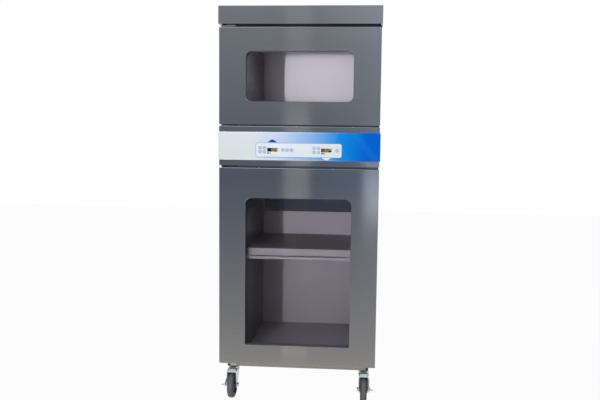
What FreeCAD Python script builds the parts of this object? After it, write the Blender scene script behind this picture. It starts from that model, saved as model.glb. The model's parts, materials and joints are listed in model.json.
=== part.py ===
"""Blanket warming cabinet: two heated chambers, one above the other, on four swivel casters.

Frame: millimetres, +Z up, X to the right as seen from the doors, the doors face -Y.
The origin is on the floor, under the middle of the cabinet.
"""
import FreeCAD, Part
import Sketcher
import os

Vector = FreeCAD.Vector
doc = FreeCAD.newDocument("blanket_warming_cabinet")
dims = doc.addObject("Spreadsheet::Sheet", "dims")

# ------------------------------------------------------------------ driving dimensions
DIMENSIONS = {
    # whole cabinet
    "overall_width": 762, "overall_depth": 673, "overall_height": 1892,
    "cap_height": 83, "cap_sheet": 1.5, "cap_overhang": 4.5, "cap_return": 42,
    # carcass: everything behind the doors
    "body_width": 750, "body_bottom": 192, "body_sheet": 1.5, "body_flange": 15,
    "liner_sheet": 1.2, "liner_back": 262, "duct_gap": 40, "insulation": 30,
    "chamber_width": 512, "hole_radius": 4, "hole_pitch_y": 50, "hole_pitch_z": 38,
    "upper_floor": 1385, "upper_roof": 1757, "lower_floor": 235, "lower_roof": 1103,
    "shelf_top": 752, "shelf_lip": 34, "shelf_sheet": 1.5, "shelf_play": 2, "shelf_front": 12,
    "rack_drop": 20, "rack_bar": 22,
    # doors
    "door_width": 755, "door_depth": 38, "door_recess": 2.5, "door_gap": 8, "door_sheet": 1.5,
    "pan_sheet": 1.2, "upper_door_bottom": 1346, "upper_door_height": 449,
    "lower_door_bottom": 194, "lower_door_height": 949,
    "window_width": 504, "upper_window_bottom": 1453, "upper_window_height": 234,
    "lower_window_bottom": 288, "lower_window_height": 713,
    "window_radius": 22, "window_low_radius": 5, "pane_thick": 4, "pane_lap": 16,
    "gasket_inset": 22.5, "gasket_width": 16, "gasket_play": 0.3,
    "pull_width": 21, "pull_depth": 14, "pull_lip": 8,
    # pivot hinges
    "hinge_inset": 16, "hinge_setback": 21, "pin_radius": 4, "pin_play": 0.05,
    "bracket_thick": 4, "bracket_leg": 3, "bracket_width": 68, "bracket_leg_height": 30,
    "upper_top_plate": 1799, "upper_low_plate": 1340.5, "lower_top_plate": 1146.5,
    "lower_low_plate": 188, "pin_length": 20, "block_side": 30, "block_height": 24,
    # control fascia between the doors
    "fascia_bottom": 1153, "fascia_height": 186, "fascia_sheet": 1.5, "fascia_flange": 22,
    "label_bottom": 1180, "label_height": 132, "label_thick": 2, "label_setback": 0.5,
    "label_radius": 5, "keypad_width": 396, "keypad_height": 60, "keypad_centre": 1229,
    "key_radius": 7.5, "key_play": 0.4, "key_flange": 9, "key_stem": 6, "key_pitch": 20.5,
    "key_row": 19, "key_gap": 13, "display_width": 48, "display_height": 17, "lens_thick": 2.5,
    "lens_setback": 0.3, "upper_display_x": -124, "lower_display_x": 130,
    "board_width": 340, "board_height": 80, "board_standoff": 10, "board_thick": 1.6,
    # rear cover
    "vent_x": 160, "vent_width": 200, "vent_bottom": 1160, "vent_slot": 6, "vent_pitch": 15,
    "vent_rows": 11, "inlet_x": 250, "inlet_height": 250, "inlet_width": 48, "inlet_tall": 28,
    # base frame and casters
    "base_width": 680, "base_setback": 60, "base_bottom": 160, "rail_width": 70, "rail_sheet": 2.5,
    "caster_spacing_x": 650, "caster_setback": 100, "caster_trail": 35, "race_cap": 3,
    "race_radius": 24, "race_height": 9, "race_gap": 0.5, "stem_radius": 6, "stem_rise": 24,
    "wheel_radius": 63.5, "wheel_width": 32, "hub_width": 40, "axle_radius": 6,
    "fork_half": 24.5, "fork_sheet": 3, "fork_top": 138, "head_radius": 10, "head_length": 9,
    "brake_sheet": 3, "brake_gap": 0.5, "stud_radius": 4, "stud_back": 13, "stud_rise": 37,
    "pedal_width": 20,
    # services between the chambers
    "blower_x": 140, "impeller_radius": 75, "impeller_height": 48, "motor_radius": 45,
    "motor_height": 78, "shaft_radius": 4, "bracket_sheet": 3, "blower_y": 20, "fan_gap": 12,
    "fan_sheet": 2, "blade_depth": 16, "blades": 24, "motor_bracket_depth": 100,
    "ring_radius": 94, "element_radius": 4, "leg_length": 110,
}
for row, (alias, number) in enumerate(DIMENSIONS.items(), start=1):
    dims.set(f"A{row}", alias)
    dims.set(f"B{row}", str(number))
    dims.setAlias(f"B{row}", alias)
doc.recompute()


def value(expression):
    """The number that an expression on the sheet's cells comes to."""
    return float(dims.evalExpression(str(expression)))


# ------------------------------------------------------------------ levels used by many pieces
FRONT = "(-dims.overall_depth / 2)"
DOOR_FRONT = f"({FRONT} + dims.door_recess)"
DOOR_BACK = f"({DOOR_FRONT} + dims.door_depth)"
BODY_FRONT = f"({DOOR_BACK} + dims.door_gap)"
LINER_FRONT = f"({BODY_FRONT} + dims.body_sheet)"
BODY_BACK = "(dims.overall_depth / 2 - dims.cap_overhang)"
CAP_SIDE = "(dims.overall_width / 2)"
BODY_SIDE = "(dims.body_width / 2)"
DOOR_SIDE = "(dims.door_width / 2)"
DUCT_SIDE = "(dims.chamber_width / 2)"
LINER_SIDE = f"({DUCT_SIDE} + dims.duct_gap + 2 * dims.liner_sheet)"
CAP_BOTTOM = "(dims.overall_height - dims.cap_height)"
CAP_INSIDE = "(dims.overall_height - dims.cap_sheet)"
FASCIA_TOP = "(dims.fascia_bottom + dims.fascia_height)"
HINGE_X = f"(-{DOOR_SIDE} + dims.hinge_inset)"
HINGE_Y = f"({DOOR_FRONT} + dims.hinge_setback)"
SERVICE_LOW = "(dims.lower_roof + dims.liner_sheet + dims.insulation)"
SERVICE_HIGH = "(dims.upper_floor - dims.liner_sheet - dims.insulation)"

CORNERS = ((-1, -1), (1, -1), (-1, 1), (1, 1))

NODES = {}


def keep(piece):
    """Enters a finished sub-part under its label, which names its file."""
    NODES[piece.Label] = piece
    return piece


# ------------------------------------------------------------------ solids and booleans
def both_sides(expression):
    """The span from minus the expression to plus it."""
    return f"-({expression})", str(expression)


def around(centre, width):
    """The span of a width about a centre."""
    return f"{centre} - ({width}) / 2", f"{centre} + ({width}) / 2"


def on_side(span, sign):
    """A span as it is on the right, or mirrored to the left."""
    return span if sign > 0 else (f"-({span[1]})", f"-({span[0]})")


def box(label, x, y, z):
    """A block between two expressions on each axis."""
    piece = doc.addObject("Part::Box", label)
    for size, base, (low, high) in (("Length", "x", x), ("Width", "y", y), ("Height", "z", z)):
        piece.setExpression(size, f"({high}) - ({low})")
        piece.setExpression(f"Placement.Base.{base}", str(low))
    return piece


AXIS_TURNS = {
    "z": FreeCAD.Rotation(),
    "-z": FreeCAD.Rotation(Vector(1, 0, 0), 180),
    "x": FreeCAD.Rotation(Vector(0, 1, 0), 90),
    "y": FreeCAD.Rotation(Vector(1, 0, 0), -90),
}


def place(piece, x, y, z, axis="z"):
    """Turns a piece's own +Z to the axis and binds its place to the sheet."""
    piece.Placement = FreeCAD.Placement(Vector(), AXIS_TURNS[axis])
    for base, expression in (("x", x), ("y", y), ("z", z)):
        piece.setExpression(f"Placement.Base.{base}", str(expression))
    return piece


def cylinder(label, radius, length, x, y, z, axis="z"):
    """A cylinder that starts at a point and runs along +axis."""
    piece = doc.addObject("Part::Cylinder", label)
    piece.setExpression("Radius", str(radius))
    piece.setExpression("Height", str(length))
    return place(piece, x, y, z, axis)


def cone(label, radius_start, radius_end, length, x, y, z, axis="z"):
    """A round taper that starts at a point and runs along +axis."""
    piece = doc.addObject("Part::Cone", label)
    piece.setExpression("Radius1", str(radius_start))
    piece.setExpression("Radius2", str(radius_end))
    piece.setExpression("Height", str(length))
    return place(piece, x, y, z, axis)


def hexagon(label, radius, length, x, y, z, axis="x"):
    """A bolt head or nut."""
    piece = doc.addObject("Part::Prism", label)
    piece.Polygon = 6
    piece.setExpression("Circumradius", str(radius))
    piece.setExpression("Height", str(length))
    return place(piece, x, y, z, axis)


def fuse(label, *pieces):
    """One solid of touching or overlapping pieces."""
    joined = doc.addObject("Part::MultiFuse", label)
    joined.Shapes = list(pieces)
    joined.Refine = True
    return joined


def cut(label, base, *tools):
    """The base with every tool taken out of it."""
    for number, tool in enumerate(tools, start=1):
        last = number == len(tools)
        step = doc.addObject("Part::Cut", label if last else f"{label}_cut_{number}")
        step.Base = base
        step.Tool = tool
        base = step
    return base


def group(label, *pieces):
    """Like pieces kept as separate solids in one sub-part."""
    gathered = doc.addObject("Part::Compound", label)
    gathered.Links = list(pieces)
    return gathered


def hollow(label, x, y, z, sheet, open_sides):
    """A sheet-metal box, open on the named sides."""
    inside = []
    for axis, (low, high) in zip("xyz", (x, y, z)):
        start = f"({low}) - 1" if f"-{axis}" in open_sides else f"({low}) + {sheet}"
        end = f"({high}) + 1" if f"+{axis}" in open_sides else f"({high}) - {sheet}"
        inside.append((start, end))
    return cut(label, box(f"{label}_outer", x, y, z), box(f"{label}_inner", *inside))


def ring(label, x, y, z, width):
    """A rectangular frame that lies in the XZ plane."""
    inside_x = (f"({x[0]}) + {width}", f"({x[1]}) - {width}")
    inside_z = (f"({z[0]}) + {width}", f"({z[1]}) - {width}")
    through = (f"({y[0]}) - 1", f"({y[1]}) + 1")
    return cut(label, box(f"{label}_outer", x, y, z), box(f"{label}_inner", inside_x, through, inside_z))


# ------------------------------------------------------------------ sketched bodies
def body(label):
    return doc.addObject("PartDesign::Body", label)


def sketch(owner, plane, name, level="0"):
    """A sketch on one of the body's own planes, lifted along the plane's normal."""
    drawing = owner.newObject("Sketcher::SketchObject", name)
    drawing.AttachmentSupport = [(next(f for f in owner.Origin.OriginFeatures if f.Role == plane), "")]
    drawing.MapMode = "FlatFace"
    drawing.setExpression("AttachmentOffset.Base.z", str(level))
    return drawing


def bind(drawing, name, kind, *where_and_expression):
    """A driving constraint that takes its value from the sheet."""
    *where, expression = where_and_expression
    index = drawing.addConstraint(Sketcher.Constraint(kind, *where, value(expression)))
    drawing.renameConstraint(index, name)
    drawing.setExpression(f"Constraints.{name}", str(expression))


def polygon(drawing, points, prefix="p"):
    """A closed outline with each corner bound to a pair of expressions."""
    corners = [Vector(value(x), value(y), 0) for x, y in points]
    first = drawing.GeometryCount
    count = len(corners)
    for number in range(count):
        drawing.addGeometry(Part.LineSegment(corners[number], corners[(number + 1) % count]), False)
    for number in range(count):
        following = first + (number + 1) % count
        drawing.addConstraint(Sketcher.Constraint("Coincident", first + number, 2, following, 1))
    for number, (x, y) in enumerate(points):
        bind(drawing, f"{prefix}x{number}", "DistanceX", first + number, 1, x)
        bind(drawing, f"{prefix}y{number}", "DistanceY", first + number, 1, y)


def rectangle(drawing, x, y, prefix="p"):
    polygon(drawing, [(x[0], y[0]), (x[1], y[0]), (x[1], y[1]), (x[0], y[1])], prefix)


def circle(drawing, x, y, radius, prefix="c"):
    centre = Vector(value(x), value(y), 0)
    index = drawing.addGeometry(Part.Circle(centre, Vector(0, 0, 1), value(radius)), False)
    bind(drawing, f"{prefix}x", "DistanceX", index, 3, x)
    bind(drawing, f"{prefix}y", "DistanceY", index, 3, y)
    bind(drawing, f"{prefix}r", "Radius", index, radius)


def rounded_rectangle(drawing, x, y, low_radius, high_radius, prefix="w"):
    """Four sides joined by tangent corner arcs, with one radius below and one above."""
    left, right = (value(e) for e in x)
    low, high = (value(e) for e in y)
    small, large = value(low_radius), value(high_radius)
    turn = 1.5707963267948966
    first = drawing.GeometryCount
    sides = [((left + small, low), (right - small, low)), ((right, low + small), (right, high - large)),
             ((right - large, high), (left + large, high)), ((left, high - large), (left, low + small))]
    arcs = [((right - small, low + small), small, -turn), ((right - large, high - large), large, 0),
            ((left + large, high - large), large, turn), ((left + small, low + small), small, 2 * turn)]
    for (start, end), (centre, radius, angle) in zip(sides, arcs):
        drawing.addGeometry(Part.LineSegment(Vector(*start, 0), Vector(*end, 0)), False)
        rim = Part.Circle(Vector(*centre, 0), Vector(0, 0, 1), radius)
        drawing.addGeometry(Part.ArcOfCircle(rim, angle, angle + turn), False)
    for number in range(8):
        following = first + (number + 1) % 8
        drawing.addConstraint(Sketcher.Constraint("Tangent", first + number, 2, following, 1))
    for number, kind in ((0, "Horizontal"), (2, "Vertical"), (4, "Horizontal"), (6, "Vertical")):
        drawing.addConstraint(Sketcher.Constraint(kind, first + number))
    for number, radius in ((1, low_radius), (3, high_radius), (5, high_radius), (7, low_radius)):
        bind(drawing, f"{prefix}r{number}", "Radius", first + number, radius)
    bind(drawing, f"{prefix}low", "DistanceY", first, 1, y[0])
    bind(drawing, f"{prefix}right", "DistanceX", first + 2, 1, x[1])
    bind(drawing, f"{prefix}high", "DistanceY", first + 4, 1, y[1])
    bind(drawing, f"{prefix}left", "DistanceX", first + 6, 1, x[0])


def pad(owner, drawing, name, length, backwards=False):
    """Grows the sketch along its normal, or against it."""
    feature = owner.newObject("PartDesign::Pad", name)
    feature.Profile = drawing
    feature.setExpression("Length", str(length))
    feature.Reversed = backwards
    doc.recompute()
    return feature


def pocket(owner, drawing, name, depth, backwards=False):
    """Cuts the sketch into the body and makes sure that it took something away."""
    before = owner.Shape.Volume
    feature = owner.newObject("PartDesign::Pocket", name)
    feature.Profile = drawing
    feature.setExpression("Length", str(depth))
    feature.Reversed = backwards
    doc.recompute()
    if owner.Shape.Volume >= before - 1e-6:
        raise RuntimeError(f"{name} cuts nothing from {owner.Label}")
    return feature


def revolve(owner, drawing, name, axis="V_Axis"):
    feature = owner.newObject("PartDesign::Revolution", name)
    feature.Profile = drawing
    feature.ReferenceAxis = (drawing, [axis])
    feature.Angle = 360
    doc.recompute()
    return feature


# ------------------------------------------------------------------ carcass
def top_cap():
    """Folded cover over the whole top, with a return under its front overhang."""
    depth = (FRONT, f"-{FRONT}")
    shell = hollow("cap_shell", both_sides(CAP_SIDE), depth, (CAP_BOTTOM, "dims.overall_height"),
                   "dims.cap_sheet", ["-z"])
    inner = both_sides(f"{CAP_SIDE} - dims.cap_sheet")
    lip = box("cap_return", inner, (f"{FRONT} + dims.cap_sheet", f"{FRONT} + dims.cap_return"),
              (CAP_BOTTOM, f"{CAP_BOTTOM} + dims.cap_sheet"))
    keep(fuse("top_cap", shell, lip))


def side_panel(side, sign):
    """Outer side skin, folded round its front and back edges."""
    skin = (f"{BODY_SIDE} - dims.body_sheet", BODY_SIDE)
    fold = (f"{BODY_SIDE} - dims.body_flange", f"{BODY_SIDE} - dims.body_sheet")
    height = ("dims.body_bottom", CAP_INSIDE)
    back = f"{BODY_BACK} - dims.body_sheet"
    parts = [("skin", skin, (LINER_FRONT, back)),
             ("front_fold", fold, (LINER_FRONT, f"{LINER_FRONT} + dims.body_sheet")),
             ("back_fold", fold, (f"{back} - dims.body_sheet", back))]
    solids = []
    for name, x, y in parts:
        solids.append(box(f"side_{side}_{name}", on_side(x, sign), y, height))
    keep(fuse(f"side_panel_{side}", *solids))


def back_panel():
    """Removable rear cover with rows of cooling slots and a hole for the power inlet."""
    owner = body("back_panel")
    drawing = sketch(owner, "XZ_Plane", "back_outline", f"-{BODY_BACK}")
    rectangle(drawing, both_sides(BODY_SIDE), ("dims.body_bottom", CAP_INSIDE))
    pad(owner, drawing, "back_sheet", "dims.body_sheet")
    opening = sketch(owner, "XZ_Plane", "inlet_hole", f"-({BODY_BACK} - dims.body_sheet)")
    rectangle(opening, around("dims.inlet_x", "dims.inlet_width"),
              around("dims.inlet_height", "dims.inlet_tall"))
    pocket(owner, opening, "inlet_pocket", "dims.body_sheet + 1")
    for name, centre in (("left_vents", "-dims.vent_x"), ("right_vents", "dims.vent_x")):
        slot = sketch(owner, "XZ_Plane", f"{name}_slot", f"-({BODY_BACK} - dims.body_sheet)")
        radius = "dims.vent_slot / 2 - 0.1"
        rounded_rectangle(slot, around(centre, "dims.vent_width"),
                          ("dims.vent_bottom", "dims.vent_bottom + dims.vent_slot"), radius, radius)
        first = pocket(owner, slot, f"{name}_pocket", "dims.body_sheet + 1")
        rows = owner.newObject("PartDesign::LinearPattern", f"{name}_rows")
        rows.Originals = [first]
        rows.Direction = (slot, ["V_Axis"])
        rows.setExpression("Length", "(dims.vent_rows - 1) * dims.vent_pitch")
        rows.setExpression("Occurrences", "dims.vent_rows")
        owner.Tip = rows
        doc.recompute()
    keep(owner)


def front_frame():
    """Stainless face of the carcass, with one opening for each chamber."""
    owner = body("front_frame")
    drawing = sketch(owner, "XZ_Plane", "face_outline", f"-{LINER_FRONT}")
    rectangle(drawing, both_sides(BODY_SIDE), ("dims.body_bottom", CAP_INSIDE))
    pad(owner, drawing, "face_sheet", "dims.body_sheet")
    for name, low, high in (("upper", "dims.upper_floor", "dims.upper_roof"),
                            ("lower", "dims.lower_floor", "dims.lower_roof")):
        opening = sketch(owner, "XZ_Plane", f"{name}_mouth", f"-{BODY_FRONT}")
        rectangle(opening, both_sides(DUCT_SIDE), (low, high))
        pocket(owner, opening, f"{name}_mouth_cut", "dims.body_sheet + 1")
    keep(owner)


def bottom_pan():
    """Floor sheet of the carcass, folded up all round."""
    inside = f"{BODY_SIDE} - dims.body_sheet"
    back = f"{BODY_BACK} - 2 * dims.body_sheet"
    keep(hollow("bottom_pan", both_sides(inside), (f"{LINER_FRONT} + dims.body_sheet", back),
                ("dims.body_bottom", "dims.body_bottom + dims.body_flange"), "dims.body_sheet", ["+z"]))


def insulation():
    """Mineral wool slabs between the chamber liners and the outer skins."""
    front, back = f"{LINER_FRONT} + 2", "dims.liner_back + dims.insulation"
    low, high = "dims.body_bottom + dims.body_flange", f"{CAP_INSIDE} - 2"
    inner = f"{LINER_SIDE} + dims.liner_sheet"
    outer = f"{BODY_SIDE} - dims.body_flange - 1"
    width = both_sides(LINER_SIDE)
    slabs = [
        box("wool_right", (inner, outer), (front, back), (low, high)),
        box("wool_left", (f"-({outer})", f"-({inner})"), (front, back), (low, high)),
        box("wool_top", width, (front, "dims.liner_back"), ("dims.upper_roof + 2", high)),
        box("wool_bottom", width, (front, "dims.liner_back"), (low, "dims.lower_floor - 2")),
        box("wool_under_upper", width, (front, "dims.liner_back"),
            (SERVICE_HIGH, "dims.upper_floor - 2")),
        box("wool_over_lower", width, (front, "dims.liner_back"), ("dims.lower_roof + 2", SERVICE_LOW)),
        box("wool_back_upper", width, ("dims.liner_back + 1", back), (SERVICE_HIGH, high)),
        box("wool_back_lower", width, ("dims.liner_back + 1", back), (low, SERVICE_LOW)),
    ]
    keep(group("insulation", *slabs))


def chamber_liner(level):
    """Welded inner box of one chamber, open to the front."""
    floor, roof = f"dims.{level}_floor", f"dims.{level}_roof"
    keep(hollow(f"{level}_liner", both_sides(LINER_SIDE), (LINER_FRONT, "dims.liner_back"),
                (f"{floor} - dims.liner_sheet", f"{roof} + dims.liner_sheet"), "dims.liner_sheet", ["-y"]))


def air_ducts(level):
    """Perforated side walls that stand off the liner and let the warm air through."""
    front, back = value(LINER_FRONT), value("dims.liner_back - dims.liner_sheet")
    floor, roof = value(f"dims.{level}_floor"), value(f"dims.{level}_roof")
    pitch_y, pitch_z = value("dims.hole_pitch_y"), value("dims.hole_pitch_z")
    radius, sheet = value("dims.hole_radius"), value("dims.liner_sheet")
    columns = int((back - front) // pitch_y)
    rows = int((roof - floor) // pitch_z) - 1
    start_y = (front + back - (columns - 1) * pitch_y) / 2
    start_z = (floor + roof - (rows - 1) * pitch_z) / 2
    panels = []
    for sign in (-1, 1):
        x = sign * value(DUCT_SIDE) - (sheet if sign < 0 else 0)
        corners = [Vector(x, y, z) for y, z in ((front, floor), (back, floor), (back, roof), (front, roof))]
        outlines = [Part.makePolygon(corners + corners[:1])]
        for column in range(columns):
            for row in range(rows):
                centre = Vector(x, start_y + column * pitch_y, start_z + row * pitch_z)
                outlines.append(Part.Wire(Part.makeCircle(radius, centre, Vector(1, 0, 0))))
        panels.append(Part.makeFace(outlines, "Part::FaceMakerBullseye").extrude(Vector(sheet, 0, 0)))
    piece = doc.addObject("Part::Feature", f"{level}_air_ducts")
    piece.Shape = Part.makeCompound(panels)
    piece.Placement = FreeCAD.Placement()
    keep(piece)


def shelf():
    """Shelf tray of the lower chamber, its edges folded down."""
    side = f"{DUCT_SIDE} - dims.shelf_play"
    depth = (f"{LINER_FRONT} + dims.shelf_front", "dims.liner_back - dims.liner_sheet - dims.shelf_play")
    keep(hollow("shelf", both_sides(side), depth, ("dims.shelf_top - dims.shelf_lip", "dims.shelf_top"),
                "dims.shelf_sheet", ["-z"]))


def shelf_rack():
    """Runners on the side walls and two cross bars that carry the shelf."""
    top = "dims.shelf_top - dims.shelf_lip"
    level = (f"{top} - dims.rack_drop", top)
    front = f"{LINER_FRONT} + dims.shelf_front + 2"
    back = "dims.liner_back - dims.liner_sheet - dims.shelf_play"
    wall, inner = f"{DUCT_SIDE}", f"{DUCT_SIDE} - dims.rack_bar"
    cross = both_sides(inner)
    keep(group("shelf_rack",
               box("runner_right", (inner, wall), (front, back), level),
               box("runner_left", (f"-({wall})", f"-({inner})"), (front, back), level),
               box("front_bar", cross, (front, f"{front} + dims.rack_bar"), level),
               box("back_bar", cross, (f"{back} - dims.rack_bar", back), level)))


# ------------------------------------------------------------------ doors
DOORS = {
    "upper": ("dims.upper_door_bottom", "dims.upper_door_bottom + dims.upper_door_height",
              "dims.upper_window_bottom", "dims.upper_window_bottom + dims.upper_window_height",
              "dims.window_radius"),
    "lower": ("dims.lower_door_bottom", "dims.lower_door_bottom + dims.lower_door_height",
              "dims.lower_window_bottom", "dims.lower_window_bottom + dims.lower_window_height",
              "dims.window_low_radius"),
}
WINDOW_SIDE = "(dims.window_width / 2)"
PANE_SIDE = f"({WINDOW_SIDE} + dims.pane_lap)"
OUTER_PANE = f"({DOOR_FRONT} + dims.door_sheet)"
PAN_FRONT = f"({DOOR_BACK} - dims.pan_sheet)"
INNER_PANE = f"({PAN_FRONT} - dims.pane_thick)"


def door_skin(level):
    """Outer door shell: front sheet with a window, folded edges and a finger channel at the free edge."""
    low, high, sill, head, low_radius = DOORS[level]
    owner = body(f"{level}_door_skin")
    fold = "dims.door_sheet"
    pull_out, pull_in = DOOR_SIDE, f"{DOOR_SIDE} - dims.pull_depth"
    lip = f"{DOOR_FRONT} + dims.pull_lip"
    deep = f"{lip} + dims.pull_width"
    plan = [
        (f"-{DOOR_SIDE}", DOOR_FRONT), (DOOR_SIDE, DOOR_FRONT), (DOOR_SIDE, lip), (pull_in, lip),
        (pull_in, deep), (pull_out, deep), (pull_out, PAN_FRONT),
        (f"{pull_out} - {fold}", PAN_FRONT), (f"{pull_out} - {fold}", f"{deep} + {fold}"),
        (f"{pull_in} - {fold}", f"{deep} + {fold}"), (f"{pull_in} - {fold}", f"{lip} - {fold}"),
        (f"{pull_out} - {fold}", f"{lip} - {fold}"),
        (f"{pull_out} - {fold}", f"{DOOR_FRONT} + {fold}"),
        (f"-{DOOR_SIDE} + {fold}", f"{DOOR_FRONT} + {fold}"),
        (f"-{DOOR_SIDE} + {fold}", PAN_FRONT), (f"-{DOOR_SIDE}", PAN_FRONT),
    ]
    profile = sketch(owner, "XY_Plane", f"{level}_skin_plan", low)
    polygon(profile, plan)
    pad(owner, profile, f"{level}_skin_walls", f"({high}) - ({low})")
    ends = [plan[number] for number in (0, 1, 2, 3, 4, 5, 6, 15)]
    for name, start in (("foot", low), ("head", f"{high} - {fold}")):
        end = sketch(owner, "XY_Plane", f"{level}_skin_{name}_plan", start)
        polygon(end, ends)
        pad(owner, end, f"{level}_skin_{name}", fold)
        bore = sketch(owner, "XY_Plane", f"{level}_{name}_bore", f"{start} + {fold} + 1")
        circle(bore, HINGE_X, HINGE_Y, "dims.pin_radius + 1")
        pocket(owner, bore, f"{level}_{name}_bore_cut", f"{fold} + 2")
    window = sketch(owner, "XZ_Plane", f"{level}_window", f"-{DOOR_FRONT}")
    rounded_rectangle(window, both_sides(WINDOW_SIDE), (sill, head), low_radius, "dims.window_radius")
    pocket(owner, window, f"{level}_window_cut", "dims.door_sheet + 1")
    keep(owner)


def door_pan(level):
    """Flat inner sheet that closes the back of the door, with the same window."""
    low, high, sill, head, low_radius = DOORS[level]
    owner = body(f"{level}_door_pan")
    drawing = sketch(owner, "XZ_Plane", f"{level}_pan_outline", f"-{DOOR_BACK}")
    rectangle(drawing, both_sides(DOOR_SIDE), (low, high))
    pad(owner, drawing, f"{level}_pan_sheet", "dims.pan_sheet")
    window = sketch(owner, "XZ_Plane", f"{level}_pan_window", f"-{PAN_FRONT}")
    rounded_rectangle(window, both_sides(WINDOW_SIDE), (sill, head), low_radius, "dims.window_radius")
    pocket(owner, window, f"{level}_pan_window_cut", "dims.pan_sheet + 1")
    keep(owner)


def door_panes(level):
    """Double glazing: one pane behind the front sheet and one in front of the inner sheet."""
    _, _, sill, head, _ = DOORS[level]
    height = (f"{sill} - dims.pane_lap", f"{head} + dims.pane_lap")
    width = both_sides(PANE_SIDE)
    keep(group(f"{level}_door_panes",
               box(f"{level}_outer_pane", width, (OUTER_PANE, f"{OUTER_PANE} + dims.pane_thick"), height),
               box(f"{level}_inner_pane", width, (INNER_PANE, PAN_FRONT), height)))


def window_seal(level):
    """Spacer frame between the two panes."""
    _, _, sill, head, _ = DOORS[level]
    height = (f"{sill} - dims.pane_lap", f"{head} + dims.pane_lap")
    keep(ring(f"{level}_window_seal", both_sides(PANE_SIDE),
              (f"{OUTER_PANE} + dims.pane_thick", INNER_PANE), height, "(dims.pane_lap - 2)"))


def door_gasket(level):
    """Magnetic gasket round the back of the door, just off the carcass face."""
    low, high, _, _, _ = DOORS[level]
    side = f"{DOOR_SIDE} - dims.gasket_inset"
    height = (f"{low} + dims.gasket_inset - 8", f"{high} - dims.gasket_inset + 8")
    keep(ring(f"{level}_door_gasket", both_sides(side), (DOOR_BACK, f"{BODY_FRONT} - dims.gasket_play"),
              height, "dims.gasket_width"))


def hinge_blocks(level):
    """Bushed blocks in the door's hinge corners, which turn on the bracket pins."""
    low, high, _, _, _ = DOORS[level]
    x = (f"-{DOOR_SIDE} + dims.door_sheet", f"-{DOOR_SIDE} + dims.door_sheet + dims.block_side")
    y = (f"{HINGE_Y} - dims.block_side / 2", f"{HINGE_Y} + dims.block_side / 2")
    foot = f"({low}) + dims.door_sheet"
    head = f"({high}) - dims.door_sheet - dims.block_height"
    blocks = []
    for name, start in (("foot", foot), ("head", head)):
        block = box(f"{level}_block_{name}_body", x, y, (start, f"{start} + dims.block_height"))
        bore = cylinder(f"{level}_block_{name}_bore", "dims.pin_radius + dims.pin_play",
                        "dims.block_height + 2", HINGE_X, HINGE_Y, f"{start} - 1")
        blocks.append(cut(f"{level}_block_{name}", block, bore))
    keep(group(f"{level}_hinge_blocks", *blocks))


def hinge_bracket(name, plate, pin_up, leg, leg_x, leg_y):
    """Plate with a pivot pin and a folded leg that is screwed to the cabinet."""
    margin = "2.6 * dims.pin_radius"
    top = f"{plate} + dims.bracket_thick"
    tongue = box(f"{name}_plate", (f"{HINGE_X} - {margin}", f"{HINGE_X} - {margin} + dims.bracket_width"),
                 (f"{HINGE_Y} - {margin}", leg_y[1]), (plate, top))
    fold = box(f"{name}_leg", leg_x, leg_y, leg)
    pin_start = f"{top} - 1" if pin_up else f"{plate} - dims.pin_length + 1"
    pin = cylinder(f"{name}_pin", "dims.pin_radius", "dims.pin_length", HINGE_X, HINGE_Y, pin_start)
    return fuse(name, tongue, fold, pin)


def hinge_brackets():
    """Four pivot brackets, above and below each door at its left side."""
    face = (f"{BODY_FRONT} - dims.bracket_leg", BODY_FRONT)
    rail_front = f"{FRONT} + dims.base_setback"
    rail = (f"{rail_front} - dims.bracket_leg", rail_front)
    right = f"{HINGE_X} - 2.6 * dims.pin_radius + dims.bracket_width"
    face_x = (f"{right} - 46", right)
    rail_x = ("-dims.base_width / 2 + 2", right)
    leg, thick = "dims.bracket_leg_height", "dims.bracket_thick"
    plates = [
        ("upper_top_hinge", "dims.upper_top_plate", False, 1, face_x, face),
        ("upper_low_hinge", "dims.upper_low_plate", True, -1, face_x, face),
        ("lower_top_hinge", "dims.lower_top_plate", False, 1, face_x, face),
        ("lower_low_hinge", "dims.lower_low_plate", True, 0, rail_x, rail),
    ]
    brackets = []
    for name, plate, pin_up, turn, leg_x, leg_y in plates:
        span = {1: (plate, f"{plate} + {thick} + {leg}"), -1: (f"{plate} - {leg}", f"{plate} + {thick}"),
                0: ("dims.base_bottom + 3", f"{plate} + {thick}")}[turn]
        brackets.append(hinge_bracket(name, plate, pin_up, span, leg_x, leg_y))
    keep(group("hinge_brackets", *brackets))


# ------------------------------------------------------------------ control fascia
def key_places():
    """Each key's name and centre: a block of four beside each display, and the others in a row."""
    block = {"program": (1, 1), "warmer": (0, 1), "timer": (1, -1), "cooler": (0, -1)}
    places = {}
    for level in ("upper", "lower"):
        near = f"dims.{level}_display_x - dims.display_width / 2 - dims.key_gap"
        for name, (column, row) in block.items():
            places[f"{level}_{name}_key"] = (f"{near} - {column} * dims.key_pitch",
                                             f"dims.keypad_centre + {row} * dims.key_row / 2")
    far = "dims.upper_display_x + dims.display_width / 2 + 2 * dims.key_gap"
    for column, name in enumerate(("unit_key", "lock_key", "alarm_key")):
        places[name] = (f"{far} + {column} * dims.key_pitch", "dims.keypad_centre")
    places["power_key"] = ("dims.lower_display_x + dims.display_width / 2 + 2 * dims.key_gap",
                           "dims.keypad_centre")
    return places


KEYS = key_places()
LABEL_FRONT = f"({FRONT} + dims.label_setback)"
LABEL_BACK = f"({LABEL_FRONT} + dims.label_thick)"
DISPLAYS = {"upper": "dims.upper_display_x", "lower": "dims.lower_display_x"}


def display_span(level, margin="0"):
    """Width and height of a display, with a margin all round."""
    return (around(DISPLAYS[level], f"dims.display_width + 2 * {margin}"),
            around("dims.keypad_centre", f"dims.display_height + 2 * {margin}"))


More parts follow.
